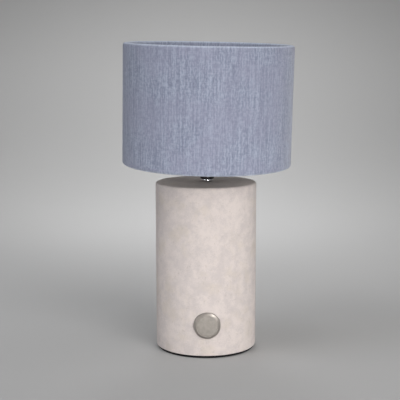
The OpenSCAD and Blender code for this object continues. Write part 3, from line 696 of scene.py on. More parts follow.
@recipe("opal_plastic")
def opal(graph):
    """Opal diffuser of the bulb: milky, with a smooth gloss over it."""
    spot = graph.place()
    drift = graph.noise(spot, 20.0)
    graph.surface({
        "Base Color": graph.mix(drift, colour("lamp_bulb", "opal"), tone(250, 250, 247)),
        "Roughness": 0.3,
        "Subsurface Weight": 0.3,
        "Subsurface Radius": (0.004, 0.004, 0.004),
        "Normal": graph.bump(graph.noise(spot, 260.0, 2.0), 0.01 * MM),
    })


def plain(name, draw, group, tint, *values):
    """A finish that a shared recipe draws, from one of the settings' colours and a few values."""
    return recipe(name)(lambda graph: draw(graph, colour(group, tint), *values))


bezel_metal = plain("pewter_bezel", spun, "lamp_switch", "bezel", middle("switch_bezel"), 0.3)
button_metal = plain(
    "pewter_button", spun, "lamp_switch", "button", middle("switch_button"), 0.46, 0.02, 0.3,
)
# Bright on the stem and its collar, dull on the bulb's cap, and a little tarnished on bare brass
chrome = plain("neck_chrome", plated, "lamp_fittings", "chrome", 0.05)
zinc = plain("zinc_plate", plated, "lamp_fittings", "zinc", 0.36, 0.14)
brass = plain("contact_brass", plated, "lamp_fittings", "brass", 0.27, 0.18)
nickel = plain("cap_nickel", plated, "lamp_bulb", "cap", 0.26, 0.1)
# Glossy phenolic of the lampholder, and matt nylon of the cord bush and the switch's body
black_gloss = plain("phenolic_black", moulded, "lamp_fittings", "black", 0.2, 0.006, 0.3)
black_matt = plain("nylon_black", moulded, "lamp_fittings", "nylon", 0.5, 0.03)
ceramic = plain("glazed_white", moulded, "lamp_fittings", "white", 0.42, 0.02)
# Powder coat of the shade's wires and fitter, with its fine orange peel
enamel = plain("wire_enamel", moulded, "lamp_shade", "enamel", 0.32, 0.05)
housing_white = plain("bulb_housing_white", moulded, "lamp_bulb", "housing", 0.3, 0.008)
sleeve = plain("lead_sleeves", moulded, "lamp_fittings", "lead", 0.4, 0.01)


# ---- The lamp's pieces ----

def ring_polygon(radius, count=64):
    """Corners of a regular polygon round the origin, counterclockwise."""
    angle = np.arange(count) * TURN / count
    return np.column_stack((np.cos(angle), np.sin(angle))) * radius


def helix(t, z, pitch):
    """Thread wave: 1 at its crest, and 0 at its root, one pitch along z for each turn."""
    return 0.5 + 0.5 * np.cos(TURN * z / pitch - t)


def eased(value, low, high):
    """0 below low, 1 above high, and smooth in between."""
    share = np.clip((value - low) / (high - low), 0, 1)
    return share * share * (3 - 2 * share)


def make_cast_body():
    """The cast body: a round wall and top round a hollow, with the moulding's slight unevenness,
    flat bosses inside, and holes for the switch, the cord bush, the stem and the plate's
    inserts."""
    low, high, radius = UPRIGHT.reach("base_shell")
    look = bpy.context.scene.lamp_body
    hollow = radius - CAST_WALL
    recess = hollow + RECESS_LEDGE
    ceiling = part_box("stem_washer")[1].z
    ledge = low + PLATE_STEP
    profile = outline([
        (0, ceiling), (hollow, ceiling, 0, 6 * MM), (hollow, ledge), (recess, ledge), (recess, low),
        (radius, low, look.lower_edge), (radius, high, look.upper_edge, 3 * MM), (0, high),
    ], 7, closed=False)

    def uneven(t, r, z):
        """Outside, the radius drifts by a few waves of unlike lengths, each with its own slope."""
        drift = sum(
            np.sin(waves * t + z * slope + waves ** 2) / count
            for count, (waves, slope) in enumerate(WALL_WAVES, 1)
        )
        wall = (r > radius - look.upper_edge) & (z > low + look.lower_edge)
        return r + look.unevenness * drift * wall, z

    body = lathe("cast_body", UPRIGHT, profile, 288, uneven)
    seal_back, _, bezel = SWITCH.reach("switch_seal")
    _, nut_front, nut = SWITCH.reach("switch_nut")
    barrel = SWITCH.reach("switch_body")[2]
    _, bush_front, flange = INLET.reach("cord_bush")
    _, inlet_nut_front, inlet_nut = INLET.reach("cord_bush_nut")
    seat = bush_front - look.bush_flange
    flats = (HEX_SHANK + SEAT_GAP) / math.cos(math.pi / 6)
    bosses = [
        prism("boss", place, ring_polygon(reach), front, front + BOSS_DEPTH)
        for place, reach, front in (
            (SWITCH, nut + 1.5 * MM, nut_front), (INLET, inlet_nut + MM, inlet_nut_front),
        )
    ]
    stem = HOLDER.reach("stem")[2]
    side = flange + SEAT_GAP
    slot = np.array([(-radius, -side), (radius, -side), (radius, side), (-radius, side)])
    cutters = [
        prism("cut", SWITCH, ring_polygon(bezel + SEAT_GAP, 128), seal_back, radius * 2),
        prism("cut", SWITCH, ring_polygon(barrel + SEAT_GAP, 128), nut_front - MM, seal_back + MM),
        prism("cut", INLET, slot, seat, radius * 2),
        prism("cut", INLET, ring_polygon(flats, 6), inlet_nut_front - MM, seat + MM),
        prism("cut", HOLDER, ring_polygon(stem + SEAT_GAP), ceiling - MM, high + MM),
    ]
    insert_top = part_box("screw_inserts")[1].z
    screw_ring = hollow + RECESS_LEDGE / 2
    for k in range(PLATE_SCREWS):
        turn = PLATE_SCREW_START + k * TURN / PLATE_SCREWS
        spot = Place((screw_ring * math.cos(turn), screw_ring * math.sin(turn), 0))
        cutters.append(prism("cut", spot, ring_polygon(INSERT_RADIUS, 32), ledge - MM, insert_top))
    carve(body, cutters, 30, bosses)
    dress(body, "base", concrete(), ["base_shell"])


def make_foot():
    """The foam foot: a disc with rounded edges."""
    low, high, radius = UPRIGHT.reach("foot_pad")
    profile = outline([
        (0, low), (radius, low, 0.7 * MM), (radius, high, 0.4 * MM), (0, high),
    ], closed=False)
    foot = lathe("foam_foot", UPRIGHT, profile, 192)
    dress(foot, "base", rubber(), ["foot_pad"])


def make_bush():
    """The cord bush: a domed flange with a flared mouth, a hexagonal shank and a threaded end. On
    the shank, the radius is the flats' distance over the cosine of the angle from the nearest
    flat's middle."""
    low, high, radius = INLET.reach("cord_bush")
    look = bpy.context.scene.lamp_body
    seat = high - look.bush_flange
    shank = INLET.reach("cord_bush_nut")[1]
    bore = look.cord_bore / 2
    profile = outline([
        (bore, low, 0.3 * MM), (THREADED_END, low, 0.4 * MM, 0.25 * MM), (THREADED_END, shank),
        (HEX_SHANK, shank), (HEX_SHANK, seat), (radius, seat, 0.2 * MM), (radius, high, 1.2 * MM),
        (bore, high, 1.2 * MM),
    ])

    def shape(t, r, z):
        """Six flats on the shank, and a thread behind it."""
        flat = np.cos((t + math.pi / 6) % (math.pi / 3) - math.pi / 6)
        r = np.where(np.isclose(r, HEX_SHANK), HEX_SHANK / flat, r)
        thread = (r > bore + MM) & (z < shank - 0.5 * MM) & (z > low + 0.6 * MM)
        return r - thread * (1 - helix(t, z, BUSH_PITCH)) * BUSH_THREAD, z

    bush = lathe("cord_inlet_bush", INLET, profile, 96, shape, sharp=32)
    dress(bush, "base", black_matt(), ["cord_bush"])


def make_bezel():
    """The switch's bezel: a turned ring with a rubbed-down slope round the button, and its barrel
    behind."""
    low, high, radius = SWITCH.reach("switch_bezel")
    look = bpy.context.scene.lamp_switch
    barrel = SWITCH.reach("switch_body")[2]
    lip = SWITCH.reach("switch_button")[2] - CHAMBER_LIP
    chamber = barrel - CHAMBER_WALL
    seat = SWITCH.reach("switch_seal")[1]
    ledge = high - LIP_DEPTH
    profile = outline([
        (chamber, low), (barrel, low, 0.4 * MM), (barrel, seat), (radius, seat, 0.15 * MM),
        (radius, high - look.slope_depth, 0.45 * MM), (radius - look.slope_width, high, 0.3 * MM),
        (lip, high, 0.14 * MM), (lip, ledge), (chamber, ledge),
    ], 8)
    bezel = lathe("switch_bezel_ring", SWITCH, profile, 192, sharp=28)
    dress(bezel, "base", bezel_metal(), ["switch_bezel"])


def make_button():
    """The push button: a bare face that is very slightly crowned, with a rounded edge, a shoulder
    that holds it in the barrel, and its plunger. The crown's height falls with the square of the
    radius."""
    low, high, shoulder = SWITCH.reach("switch_button")
    face = shoulder - FACE_STEP
    top = SWITCH.reach("switch_bezel")[1] - LIP_DEPTH - FACE_GAP
    profile = outline([
        (0, low), (PLUNGER_RADIUS, low, 0.3 * MM), (PLUNGER_RADIUS, top - SHOULDER),
        (shoulder, top - SHOULDER), (shoulder, top), (face, top), (face, high, 0.35 * MM, 0.6 * MM),
        (0, high),
    ], 8, closed=False)

    def crown(t, r, z):
        """The face falls away from its middle."""
        return r, z - (z > high - 0.5 * MM) * FACE_CROWN * (r / face) ** 2

    button = lathe("switch_push_face", SWITCH, profile, 192, crown, sharp=28)
    dress(button, "switch_button", button_metal(), ["switch_button"])


def make_spring():
    """The button's return spring: a round wire along a helix whose end turns lie flat. Point (b, t)
    is at angle t, wire cos b out from the helix and wire sin b above it."""
    low, high, radius = SWITCH.reach("switch_spring")
    wire = SPRING_WIRE / 2
    low, high = low + SPRING_GAP, high - SPRING_GAP
    turns = np.linspace(0, SPRING_TURNS, 48 * SPRING_TURNS + 1)
    rise = np.clip((turns - SPRING_FLAT) / (SPRING_TURNS - 2 * SPRING_FLAT), 0, 1)
    height = low + wire + (high - low - SPRING_WIRE) * rise
    b, t = np.meshgrid(np.arange(12) * TURN / 12, turns * TURN, indexing="ij")
    r = radius - wire + wire * np.cos(b)
    z = height + wire * np.sin(b)
    skin = np.stack((r * np.cos(t), r * np.sin(t), z), axis=-1)
    tips = skin[:, [0, -1]].mean(axis=0)
    points = SWITCH.world(np.concatenate((skin.reshape(-1, 3), tips)))
    spring = form("return_spring", points, [grid_faces(*b.shape, False), *fans(*b.shape)])
    dress(spring, "base", zinc(), ["switch_spring"])
    keep = 1 - (BUTTON_TRAVEL + SPRING_GAP) / (high - low)
    anchor = SWITCH.world((0, 0, low)).tolist()
    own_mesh(spring)


def make_collar():
    """The neck's collar: a chromed ring with a barrel side. With t from -1 to 1 up its side, it
    stands bulge t^2 + edge t^12 back from its greatest radius, so its edges roll over softly."""
    low, high, radius = HOLDER.reach("neck_collar")
    bore = HOLDER.reach("stem")[2] + THREAD_GAP
    look = bpy.context.scene.lamp_fittings
    t = np.linspace(-1, 1, 41)
    barrel = radius - look.collar_bulge * t ** 2 - look.collar_edge * t ** 12
    side = np.stack((barrel, (low + high) / 2 + (high - low) / 2 * t), axis=1)
    profile = np.concatenate(([(bore, low)], side, [(bore, high)]))
    collar = lathe("neck_ring", HOLDER, profile, 128)
    dress(collar, "base", chrome(), ["neck_collar"])


def make_cap():
    """The lampholder's cap: a neck that flares into a cup."""
    low, high, radius = HOLDER.reach("holder_cap")
    bore = HOLDER.reach("stem")[2] + THREAD_GAP
    neck = bpy.context.scene.lamp_fittings.neck / 2
    flare, rim = low + NECK_HEIGHT, low + NECK_HEIGHT + CAP_CONE
    room = flare + 2.5 * MM
    profile = outline([
        (bore, low), (neck, low, 0.7 * MM), (neck, flare, 2 * MM), (radius, rim, 3.5 * MM),
        (radius, high, 0.5 * MM), (radius - CAP_WALL, high, 0.3 * MM),
        (radius - CAP_WALL, rim + 1.5 * MM), (neck - CAP_WALL, room), (bore, room),
    ], 10)
    cap = lathe("holder_cup", HOLDER, profile, 160, sharp=32)
    screw_low, screw_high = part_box("cap_lock_screw")
    across = Place((HOLDER.origin[0], 0, (screw_low.z + screw_high.z) / 2), (0, 1, 0))
    wide = (screw_high.z - screw_low.z) / 2 + THREAD_GAP
    carve(cap, [prism("cut", across, ring_polygon(wide, 32), 0, neck * 2)], 32)
    dress(cap, "base", black_gloss(), ["holder_cap"])


def make_skirt():
    """The lampholder's skirt: a tube whose outside carries the shade rings' thread, cut to a depth
    that follows a helix and runs out smoothly at both ends."""
    low, high, _ = HOLDER.reach("holder_skirt")
    look = bpy.context.scene.lamp_fittings
    radius = look.skirt / 2
    cap_top = HOLDER.reach("holder_cap")[1]
    inset = HOLDER.reach("holder_cap")[2] - CAP_WALL - THREAD_GAP
    foot = cap_top + 0.1 * MM
    profile = outline([
        (inset - SKIRT_WALL, low), (inset, low, 0.3 * MM), (inset, foot),
        (radius, foot, 0.3 * MM, 0.42 * MM), (radius, high, 0.6 * MM),
        (radius - SKIRT_WALL, high, 0.4 * MM, 3 * MM),
        (radius - SKIRT_WALL, cap_top - MM), (inset - SKIRT_WALL, cap_top - MM),
    ])

    def thread(t, r, z):
        """The groove is where the thread wave is low, and eases in and out at the ends."""
        root = eased(z, foot + MM, foot + 3 * MM) * eased(high - z, 0.8 * MM, 2.5 * MM)
        groove = eased(SKIRT_LAND - helix(t, z, SKIRT_PITCH), 0, 0.4) * root
        return r - (r > radius - MM) * groove * SKIRT_THREAD, z

    skirt = lathe("holder_threaded_skirt", HOLDER, profile, 144, thread, sharp=50)
    dress(skirt, "base", black_gloss(), ["holder_skirt"])


def make_shell():
    """The screw shell: thin brass rolled into the bulb's thread, with its foot turned in. The
    wall's radius swings along a helix that fades at both ends."""
    low, high, radius = HOLDER.reach("screw_shell")
    bore = radius - SHELL_WALL
    foot = low + SHELL_FOOT
    profile = outline([
        (bore - SHELL_LIP, low), (radius, low, 0.7 * MM, 0.5 * MM), (radius, high, 0.2 * MM),
        (bore, high, 0.2 * MM, 0.5 * MM), (bore, foot, 0.3 * MM), (bore - SHELL_LIP, foot),
    ])

    def rolled(t, r, z):
        """Both faces of the wall swing in and out with the thread wave."""
        swing = eased(z, foot + MM, foot + 3 * MM) * eased(high - z, MM, 3 * MM) * (r > bore - MM)
        return r + swing * (helix(t, z, SHELL_PITCH) - 0.5) * SHELL_SWING, z

    shell = lathe("rolled_screw_shell", HOLDER, profile, 96, rolled, sharp=50)
    dress(shell, "base", brass(), ["screw_shell"])


def make_shade_ring(node, name, body, up):
    """A shade ring: a threaded hub with a flange whose rim has finger grips. In a grip the rim's
    radius is where a line from the axis meets a small circle just outside the rim."""
    low, high, radius = HOLDER.reach(node)
    bore = bpy.context.scene.lamp_fittings.skirt / 2 + SLIDE_GAP
    hub = bore + RING_HUB
    near, far = (low, high) if up else (high, low)
    rim = near + math.copysign(RING_FLANGE, far - near)
    corners = [
        (bore, near, 0.3 * MM), (radius, near, 0.5 * MM), (radius, rim, 0.5 * MM),
        (hub, rim, 0.6 * MM), (hub, far, 0.6 * MM), (bore, far, 0.3 * MM),
    ]
    away = radius + GRIP_OUT

    def grips(t, r, z):
        """The offset is the angle from the nearest grip's middle."""
        offset = (t + math.pi / RING_GRIPS) % (TURN / RING_GRIPS) - math.pi / RING_GRIPS
        inside = GRIP_RADIUS ** 2 - (away * np.sin(offset)) ** 2
        cut = away * np.cos(offset) - np.sqrt(np.maximum(inside, 0))
        depth = np.where(inside > 0, np.maximum(radius - cut, 0), 0)
        return r - (r > hub + MM) * depth, z

    ring = lathe(name, HOLDER, outline(corners), RING_GRIPS * 24, grips, sharp=32)
    dress(ring, body, black_gloss(), [node])


def make_bulb_cap():
    """The bulb's screw cap: nickel plated, with the rolled thread's rounded crests."""
    low, high, radius = HOLDER.reach("bulb_cap")
    body = radius - CAP_THREAD
    foot = HOLDER.reach("bulb_insulator")[2]
    profile = outline([
        (0, low), (foot, low, 0.3 * MM), (body, low + 1.6 * MM, 0.8 * MM, 0.4 * MM), (body, high),
        (0, high),
    ], closed=False)

    def rolled(t, r, z):
        """The wall stands out with the thread wave."""
        swing = eased(z, low + 2 * MM, low + 4 * MM) * eased(high - z, 2 * MM, 4.5 * MM)
        return r + swing * (r > foot + 0.2 * MM) * helix(t, z, SHELL_PITCH) * (radius - body), z

    cap = lathe("bulb_screw_cap", HOLDER, profile, 96, rolled, sharp=50)
    dress(cap, "bulb", nickel(), ["bulb_cap"])


def make_bulb_housing():
    """The bulb's housing: a smooth neck that swells in one soft curve to the diffuser's foot."""
    low, high, radius = HOLDER.reach("bulb_housing")
    neck = HOLDER.reach("bulb_cap")[2] + HOUSING_STEP
    profile = outline([
        (0, low), (neck - HOUSING_STEP, low), (neck, low + 1.5 * MM, 0.8 * MM),
        (neck + 0.8 * MM, low + HOUSING_NECK, 14 * MM, 2 * MM), (radius, high, 0.6 * MM), (0, high),
    ], 12, closed=False)
    housing = lathe("bulb_body", HOLDER, profile, 128, sharp=32)
    dress(housing, "bulb", housing_white(), ["bulb_housing"])


def make_bulb_dome():
    """The bulb's opal diffuser: two spheres' arcs, one wall apart, joined at the foot."""
    low, high, radius = HOLDER.reach("bulb_dome")
    centre = high - radius

    def arc(r, steps=40):
        """A sphere's section, from its pole down to the foot's level."""
        lift = math.asin((low - centre) / r)
        angle = np.linspace(math.pi / 2, lift, steps)
        return np.column_stack((r * np.cos(angle), centre + r * np.sin(angle)))

    profile = np.concatenate((arc(radius - DOME_WALL), arc(radius)[::-1]))
    profile[[0, -1], 0] = 0
    dome = lathe("bulb_diffuser", HOLDER, profile, 128)
    dress(dome, "bulb", opal(), ["bulb_dome"])


def make_fitter():
    """The shade's fitter: a stamped plate, its rim rolled down and its hole's edge rounded."""
    low, high, radius = HOLDER.reach("shade_fitter")
    look = bpy.context.scene.lamp_shade
    under = high - look.fitter_sheet
    hole = look.fitter_hole / 2
    rim = radius - FITTER_RIM
    profile = outline([
        (hole, under, 0.3 * MM), (rim, under, 0.4 * MM), (rim, low, 0.4 * MM),
        (radius, low, 0.4 * MM), (radius, high, 1.3 * MM), (hole, high, 0.4 * MM),
    ], 8)
    fitter = lathe("shade_fitter_plate", HOLDER, profile, 128)
    dress(fitter, "shade", enamel(), ["shade_fitter"])


def make_liner():
    """The shade's liner: a thin sheet bent to a drum, a little shorter than the cloth's folds."""
    low, high, radius = DRUM.reach("shade_liner")
    low, high = low + LINER_SET_BACK, high - LINER_SET_BACK
    profile = outline([
        (radius - LINER, low), (radius, low, 0, 20 * MM), (radius, high),
        (radius - LINER, high, 0, 20 * MM),
    ])
    liner = lathe("drum_liner", DRUM, profile, 240)
    dress(liner, "shade", liner_sheet(), ["shade_liner"])


def make_cloth():
    """The drum's linen: one strip of cloth round the liner, folded in over each ring and hemmed
    inside. In section it is two parallel lines one cloth apart, each with a half circle round each
    ring. At the back its end laps over its start: there the outside stands one cloth further out,
    with a crisp edge on one side and a soft step on the other. The outside also drifts by less than
    half a millimetre."""
    low, high, radius = DRUM.reach("shade_fabric")
    low -= LOOSE
    look = bpy.context.scene.lamp_shade
    fold = FOLD_RADIUS
    axis = radius - fold
    angle = np.linspace(0, math.pi, 11)

    def half_circle(r, z, side):
        """Points from the outside over a ring to the inside, above it or with side -1 below it."""
        return np.column_stack((axis + r * np.cos(angle), z + side * r * np.sin(angle)))

    top, foot = high - fold, low + fold
    rise = np.arange(foot + CLOTH_ROW, top - MM, CLOTH_ROW)
    fall = np.arange(top - 4 * CLOTH_ROW, foot + MM, -4 * CLOTH_ROW)
    wall = np.column_stack((np.full(len(rise), radius), rise))
    inner = np.column_stack((np.full(len(fall), radius - CLOTH), fall))
    hem_top = [(axis - fold, high - HEM), (axis - fold + CLOTH, high - HEM)]
    hem_low = [(axis - fold + CLOTH, low + HEM), (axis - fold, low + HEM)]
    profile = np.concatenate((
        wall, half_circle(fold, top, 1), hem_top, half_circle(fold - CLOTH, top, 1)[::-1],
        inner, half_circle(fold - CLOTH, foot, -1), hem_low, half_circle(fold, foot, -1)[::-1],
    ))
    lap = SEAM_OVERLAP / radius
    start = SEAM_AZIMUTH - lap / 2
    edges = start + np.array((-0.35, 0, 0.35)) * MM / radius
    soft = start + lap + np.array((-0.5, 0.5, 1.5, 2.5)) * MM / radius
    even = np.arange(264) * TURN / 264
    clear = np.abs(even[:, None] - np.concatenate((edges, soft))).min(axis=1) > 0.7 * MM / radius
    turns = np.sort(np.concatenate((even[clear], edges, soft)))

    def drape(t, r, z):
        """The lap adds one cloth, and three slow waves round and up the drum add the drift."""
        outside = eased(r, axis, radius - 0.1 * MM)
        lapped = eased(t, edges[0], edges[1]) * (1 - eased(t, soft[1], soft[3]))
        drift = np.sin(2 * t + 9 * z) + 0.6 * np.sin(5 * t - 21 * z + 1)
        drift = drift + 0.4 * np.sin(11 * t + 60 * z + 2)
        away = outside * (r > radius - 0.5 * CLOTH)
        return r + away * (lapped * CLOTH + (drift - 1) * look.waviness), z

    cloth = lathe("drum_cloth", DRUM, profile, turns, drape, sharp=60, cloth=True)
    near, far = axis - fold - MM, axis - fold + 2 * CLOTH
    cutters = []
    for azimuth in ARM_AZIMUTHS:
        out = np.array((math.cos(azimuth), math.sin(azimuth)))
        side = look.arm_slit / 2 * np.array((-out[1], out[0]))
        corners = (near * out - side, far * out - side, far * out + side, near * out + side)
        polygon = np.array([DRUM.axes[:2, :2] @ corner for corner in corners])
        cutters.append(prism("cut", DRUM, polygon, low + CLOTH + 0.3 * MM, low + HEM + MM))
    carve(cloth, cutters, 60)
    nodes = ["shade_fabric", "shade_top_hem", "shade_low_hem"]
    dress(cloth, "shade", linen(), nodes)
    run = (high - low - 2 * fold) + TURN * (fold - CLOTH / 2) + 2 * (HEM - fold)
    TURN * radius + SEAM_OVERLAP


# ---- Settings ----

def length(name, description, value):
    """A length setting, in metres."""
    return FloatProperty(
        name=name, description=description, default=value, min=0, precision=5,
        subtype="DISTANCE", unit="LENGTH",
    )


def angle(name, description, degrees):
    """An angle setting, given in degrees."""
    return FloatProperty(
        name=name, description=description, default=math.radians(degrees), subtype="ANGLE",
    )


def power(name, description, watts):
    """A light's power setting."""
    return FloatProperty(name=name, description=description, default=watts, unit="POWER")


def paint(name, description, value):
    """A colour setting."""
    return FloatVectorProperty(
        name=name, description=description, default=value, size=3, min=0, max=1, subtype="COLOR",
    )


class LampBody(bpy.types.PropertyGroup):
    """Sizes and colours of the cast body, its foot and the cord bush."""

    upper_edge: length("Upper edge", "Rounding of the body's top edge", 2.5 * MM)
    lower_edge: length("Lower edge", "Rounding of the body's bottom edge", 0.9 * MM)
    unevenness: length("Unevenness", "How far the cast wall drifts from round", 0.07 * MM)
    bush_flange: length("Bush flange", "Thickness of the cord bush's flange", 2 * MM)
    cord_bore: length("Cord bore", "Bore of the cord bush", 6.6 * MM)
    pale: paint("Pale", "Concrete where it dried pale", tone(209, 200, 196))
    grey: paint("Grey", "Concrete where it dried grey", tone(194, 186, 184))
    warm: paint("Warm", "Yellowish patches in the concrete", tone(197, 187, 175))
    sand: paint("Sand", "Sand and pinholes in the concrete", tone(156, 145, 133))
    foot: paint("Foot", "Foam of the foot pad", tone(30, 30, 32))


class LampSwitch(bpy.types.PropertyGroup):
    """Sizes and colours of the push switch."""

    slope_width: length("Slope width", "Width of the bezel's slope", 2.6 * MM)
    slope_depth: length("Slope depth", "Depth of the bezel's slope", 1.3 * MM)
    bezel: paint("Bezel", "Pewter of the bezel", tone(162, 156, 150))
    button: paint("Button", "Pewter of the button", tone(152, 147, 141))


class LampFittings(bpy.types.PropertyGroup):
    """Sizes and colours of the stem, the lampholder and the parts inside."""

    collar_edge: length("Collar edge", "How far the neck collar's edges roll in", 0.5 * MM)
    collar_bulge: length("Collar bulge", "How far the neck collar's side bulges", 0.28 * MM)
    neck: length("Neck", "Diameter of the lampholder's neck", 16.5 * MM)
    skirt: length("Skirt", "Diameter of the lampholder's threaded skirt", 38.6 * MM)
    chrome: paint("Chrome", "Chrome of the stem and its collar", tone(226, 227, 230))
    zinc: paint("Zinc", "Plating of screws, nuts and plates", tone(176, 178, 182))
    brass: paint("Brass", "Brass of contacts and inserts", tone(208, 176, 104))
    black: paint("Black", "Glossy black of the lampholder", tone(24, 24, 26))
    nylon: paint("Nylon", "Matt black of the bush and the switch body", tone(32, 32, 34))
    white: paint("White", "White of the holder's core and the terminal block", tone(234, 232, 226))
    lead: paint("Lead", "Sleeves of the leads inside", tone(112, 66, 34))


class LampBulb(bpy.types.PropertyGroup):
    """Colours of the bulb."""

    cap: paint("Cap", "Nickel of the screw cap", tone(196, 196, 194))
    housing: paint("Housing", "White plastic of the housing", tone(238, 238, 236))
    opal: paint("Opal", "Milky diffuser", tone(244, 244, 240))


class LampShade(bpy.types.PropertyGroup):
    """Sizes and colours of the shade."""

    yarn_pitch: length("Yarn pitch", "Distance from one upright yarn to the next", 0.75 * MM)
    waviness: length("Waviness", "How far the cloth drifts from a true drum", 0.12 * MM)
    arm_slit: length("Arm slit", "Width of the hem's slit where an arm passes", 5 * MM)
    fitter_sheet: length("Fitter sheet", "Thickness of the fitter plate", 1.5 * MM)
    fitter_hole: length("Fitter hole", "Hole in the fitter plate", 42 * MM)
    light: paint("Light yarn", "Palest yarns of the linen", tone(167, 174, 193))
    deep: paint("Deep yarn", "Darkest yarns of the linen", tone(123, 130, 150))
    violet: paint("Violet drift", "Where the dye leans to violet", tone(148, 149, 170))
    # Pale tone of the folds: stretched yarns, and a painted highlight where light would catch them
    stretch_and_highlight: paint("Stretched yarn and highlight", "Stretched yarns where the linen folds", tone(206, 216, 234))
    enamel: paint("Enamel", "Coat of the shade's wires and fitter", tone(236, 236, 233))
    liner: paint("Liner", "Sheet behind the cloth", tone(240, 240, 238))


class LampStudio(bpy.types.PropertyGroup):
    """The studio round the lamp."""

    lens: FloatProperty(name="Lens", description="Focal length", default=90.82, unit="CAMERA")
    distance: length("Distance", "Camera's distance from the lamp's axis", 1.193)
    height: length("Height", "Camera's height above the floor", 0.3583)
    orbit: angle("Orbit", "Camera's turn round the lamp", -1.4)
    pitch: angle("Pitch", "How far the camera looks down", 8.61)
    shift: FloatProperty(name="Shift", description="Sideways shift of the frame", default=-0.0148)
    front: power("Front light", "Power that the front lights take their shares of", 13.5)
    side: power("Side light", "Power of the small cool light on the left", 0.8)
    cards: power("Cards", "Power that the wide side lights take their shares of", 2.2)
    top: power("Top light", "Power that the high lights take their shares of", 6.9)
    back: power("Back light", "Power that the floor and wall lights take their shares of", 5.5)
    air: FloatProperty(name="Air", description="Strength of the light from all round", default=0.19)
    floor: paint("Floor", "Paint of the floor and wall", tone(175, 175, 175))


# ---- Operators ----

class LAMP_OT_cast_body(bpy.types.Operator):
    """Makes the cast body and its foam foot"""

    bl_idname = "lamp.cast_body"
    bl_label = "Cast body"

    def execute(self, context):
        make_cast_body()
        make_foot()
        return {"FINISHED"}


class LAMP_OT_cord_inlet(bpy.types.Operator):
    """Makes the cord bush at the back of the body"""

    bl_idname = "lamp.cord_inlet"
    bl_label = "Cord inlet"

    def execute(self, context):
        make_bush()
        return {"FINISHED"}


class LAMP_OT_push_switch(bpy.types.Operator):
    """Makes the push switch's bezel, button and return spring"""

    bl_idname = "lamp.push_switch"
    bl_label = "Push switch"

    def execute(self, context):
        make_bezel()
        make_button()
        make_spring()
        return {"FINISHED"}


class LAMP_OT_neck(bpy.types.Operator):
    """Makes the collar at the foot of the stem"""

    bl_idname = "lamp.neck"
    bl_label = "Neck collar"

    def execute(self, context):
        make_collar()
        return {"FINISHED"}


class LAMP_OT_lampholder(bpy.types.Operator):
    """Makes the lampholder's cap, skirt and screw shell"""

    bl_idname = "lamp.lampholder"
    bl_label = "Lampholder"

    def execute(self, context):
        make_cap()
        make_skirt()
        make_shell()
        return {"FINISHED"}


class LAMP_OT_shade_rings(bpy.types.Operator):
    """Makes the two rings that clamp the shade's fitter"""

    bl_idname = "lamp.shade_rings"
    bl_label = "Shade rings"

    def execute(self, context):
        make_shade_ring("shade_ring_lower", "lower_grip_ring", "base", False)
        make_shade_ring("shade_ring_upper", "upper_grip_ring", "shade_ring", True)
        return {"FINISHED"}


class LAMP_OT_bulb(bpy.types.Operator):
    """Makes the bulb's screw cap, housing and diffuser"""

    bl_idname = "lamp.bulb"
    bl_label = "Bulb"

    def execute(self, context):
        make_bulb_cap()
        make_bulb_housing()
        make_bulb_dome()
        return {"FINISHED"}


class LAMP_OT_shade_fitter(bpy.types.Operator):
    """Makes the shade's stamped fitter plate"""

    bl_idname = "lamp.shade_fitter"
    bl_label = "Shade fitter"

    def execute(self, context):
        make_fitter()
        return {"FINISHED"}


class LAMP_OT_shade_drum(bpy.types.Operator):
    """Makes the shade's liner and its linen"""

    bl_idname = "lamp.shade_drum"
    bl_label = "Shade drum"

    def execute(self, context):
        make_liner()
        make_cloth()
        return {"FINISHED"}


class LAMP_OT_inner_finishes(bpy.types.Operator):
    """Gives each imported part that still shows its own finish"""

    bl_idname = "lamp.inner_finishes"
    bl_label = "Inner finishes"

    def execute(self, context):
        finishes = {
            zinc: [
                "base_plate", "base_plate_screws", "terminal_screws", "block_screws", "switch_nut",
                "stem_washer", "stem_lock_washer", "stem_nut", "cap_lock_screw",
                "core_terminal_screws", "bulb_tip",
            ],
            brass: [
                "screw_inserts", "terminal_tubes", "switch_terminals", "core_terminals",
                "centre_contact",
            ],
            black_matt: ["cord_bush_nut", "switch_body"],
            rubber: ["switch_seal"],
            black_gloss: ["bulb_insulator"],
            ceramic: ["terminal_block", "holder_core"],
            chrome: ["stem"],
            sleeve: ["switch_leads", "holder_leads"],
            enamel: ["shade_arms", "shade_low_ring", "shade_top_ring"],
        }
        for give, nodes in finishes.items():
            for node in nodes:
                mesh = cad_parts[node].data
                mesh.materials.clear()
                mesh.materials.append(give())
        return {"FINISHED"}


class LAMP_OT_studio(bpy.types.Operator):
    """Makes the studio: a floor that sweeps up to a wall all round, the camera and the lights"""

    bl_idname = "lamp.studio"
    bl_label = "Studio"

    def execute(self, context):
        make_sweep()
        place_camera(context.scene.lamp_studio)
        light_studio(context.scene.lamp_studio)
        return {"FINISHED"}


@recipe("studio_paint")
def studio_paint(graph):
    """Matt paint of the studio's floor and wall, with the faint unevenness of a roller."""
    spot = graph.place()
    tint = colour("lamp_studio", "floor")
    cloud = graph.noise(spot, 2.5, 3.0)
    graph.surface({
        "Base Color": graph.mix(cloud, dyed(tint, 0.985), tint),
        "Roughness": 0.9,
        "Specular IOR Level": 0.15,
    })


def area_light(name, place, aim, size, watts, tint, spread):
    """A soft light at a place, looking at a point, that the camera doesn't see itself: a disc of
    that size, or a panel where the size is a pair, its width and height."""
    data = bpy.data.lights.new(name, "AREA")
    if isinstance(size, tuple):
        data.shape, data.size, data.size_y = "RECTANGLE", size[0], size[1]
    else:
        data.shape, data.size = "DISK", size
    data.energy, data.color, data.spread = watts, tint, math.radians(spread)
    light = bpy.data.objects.new(name, data)
    light.location = place
    light.rotation_euler = (Vector(aim) - Vector(place)).to_track_quat("-Z", "Y").to_euler()
    light.visible_camera = False
    bpy.context.scene.collection.objects.link(light)


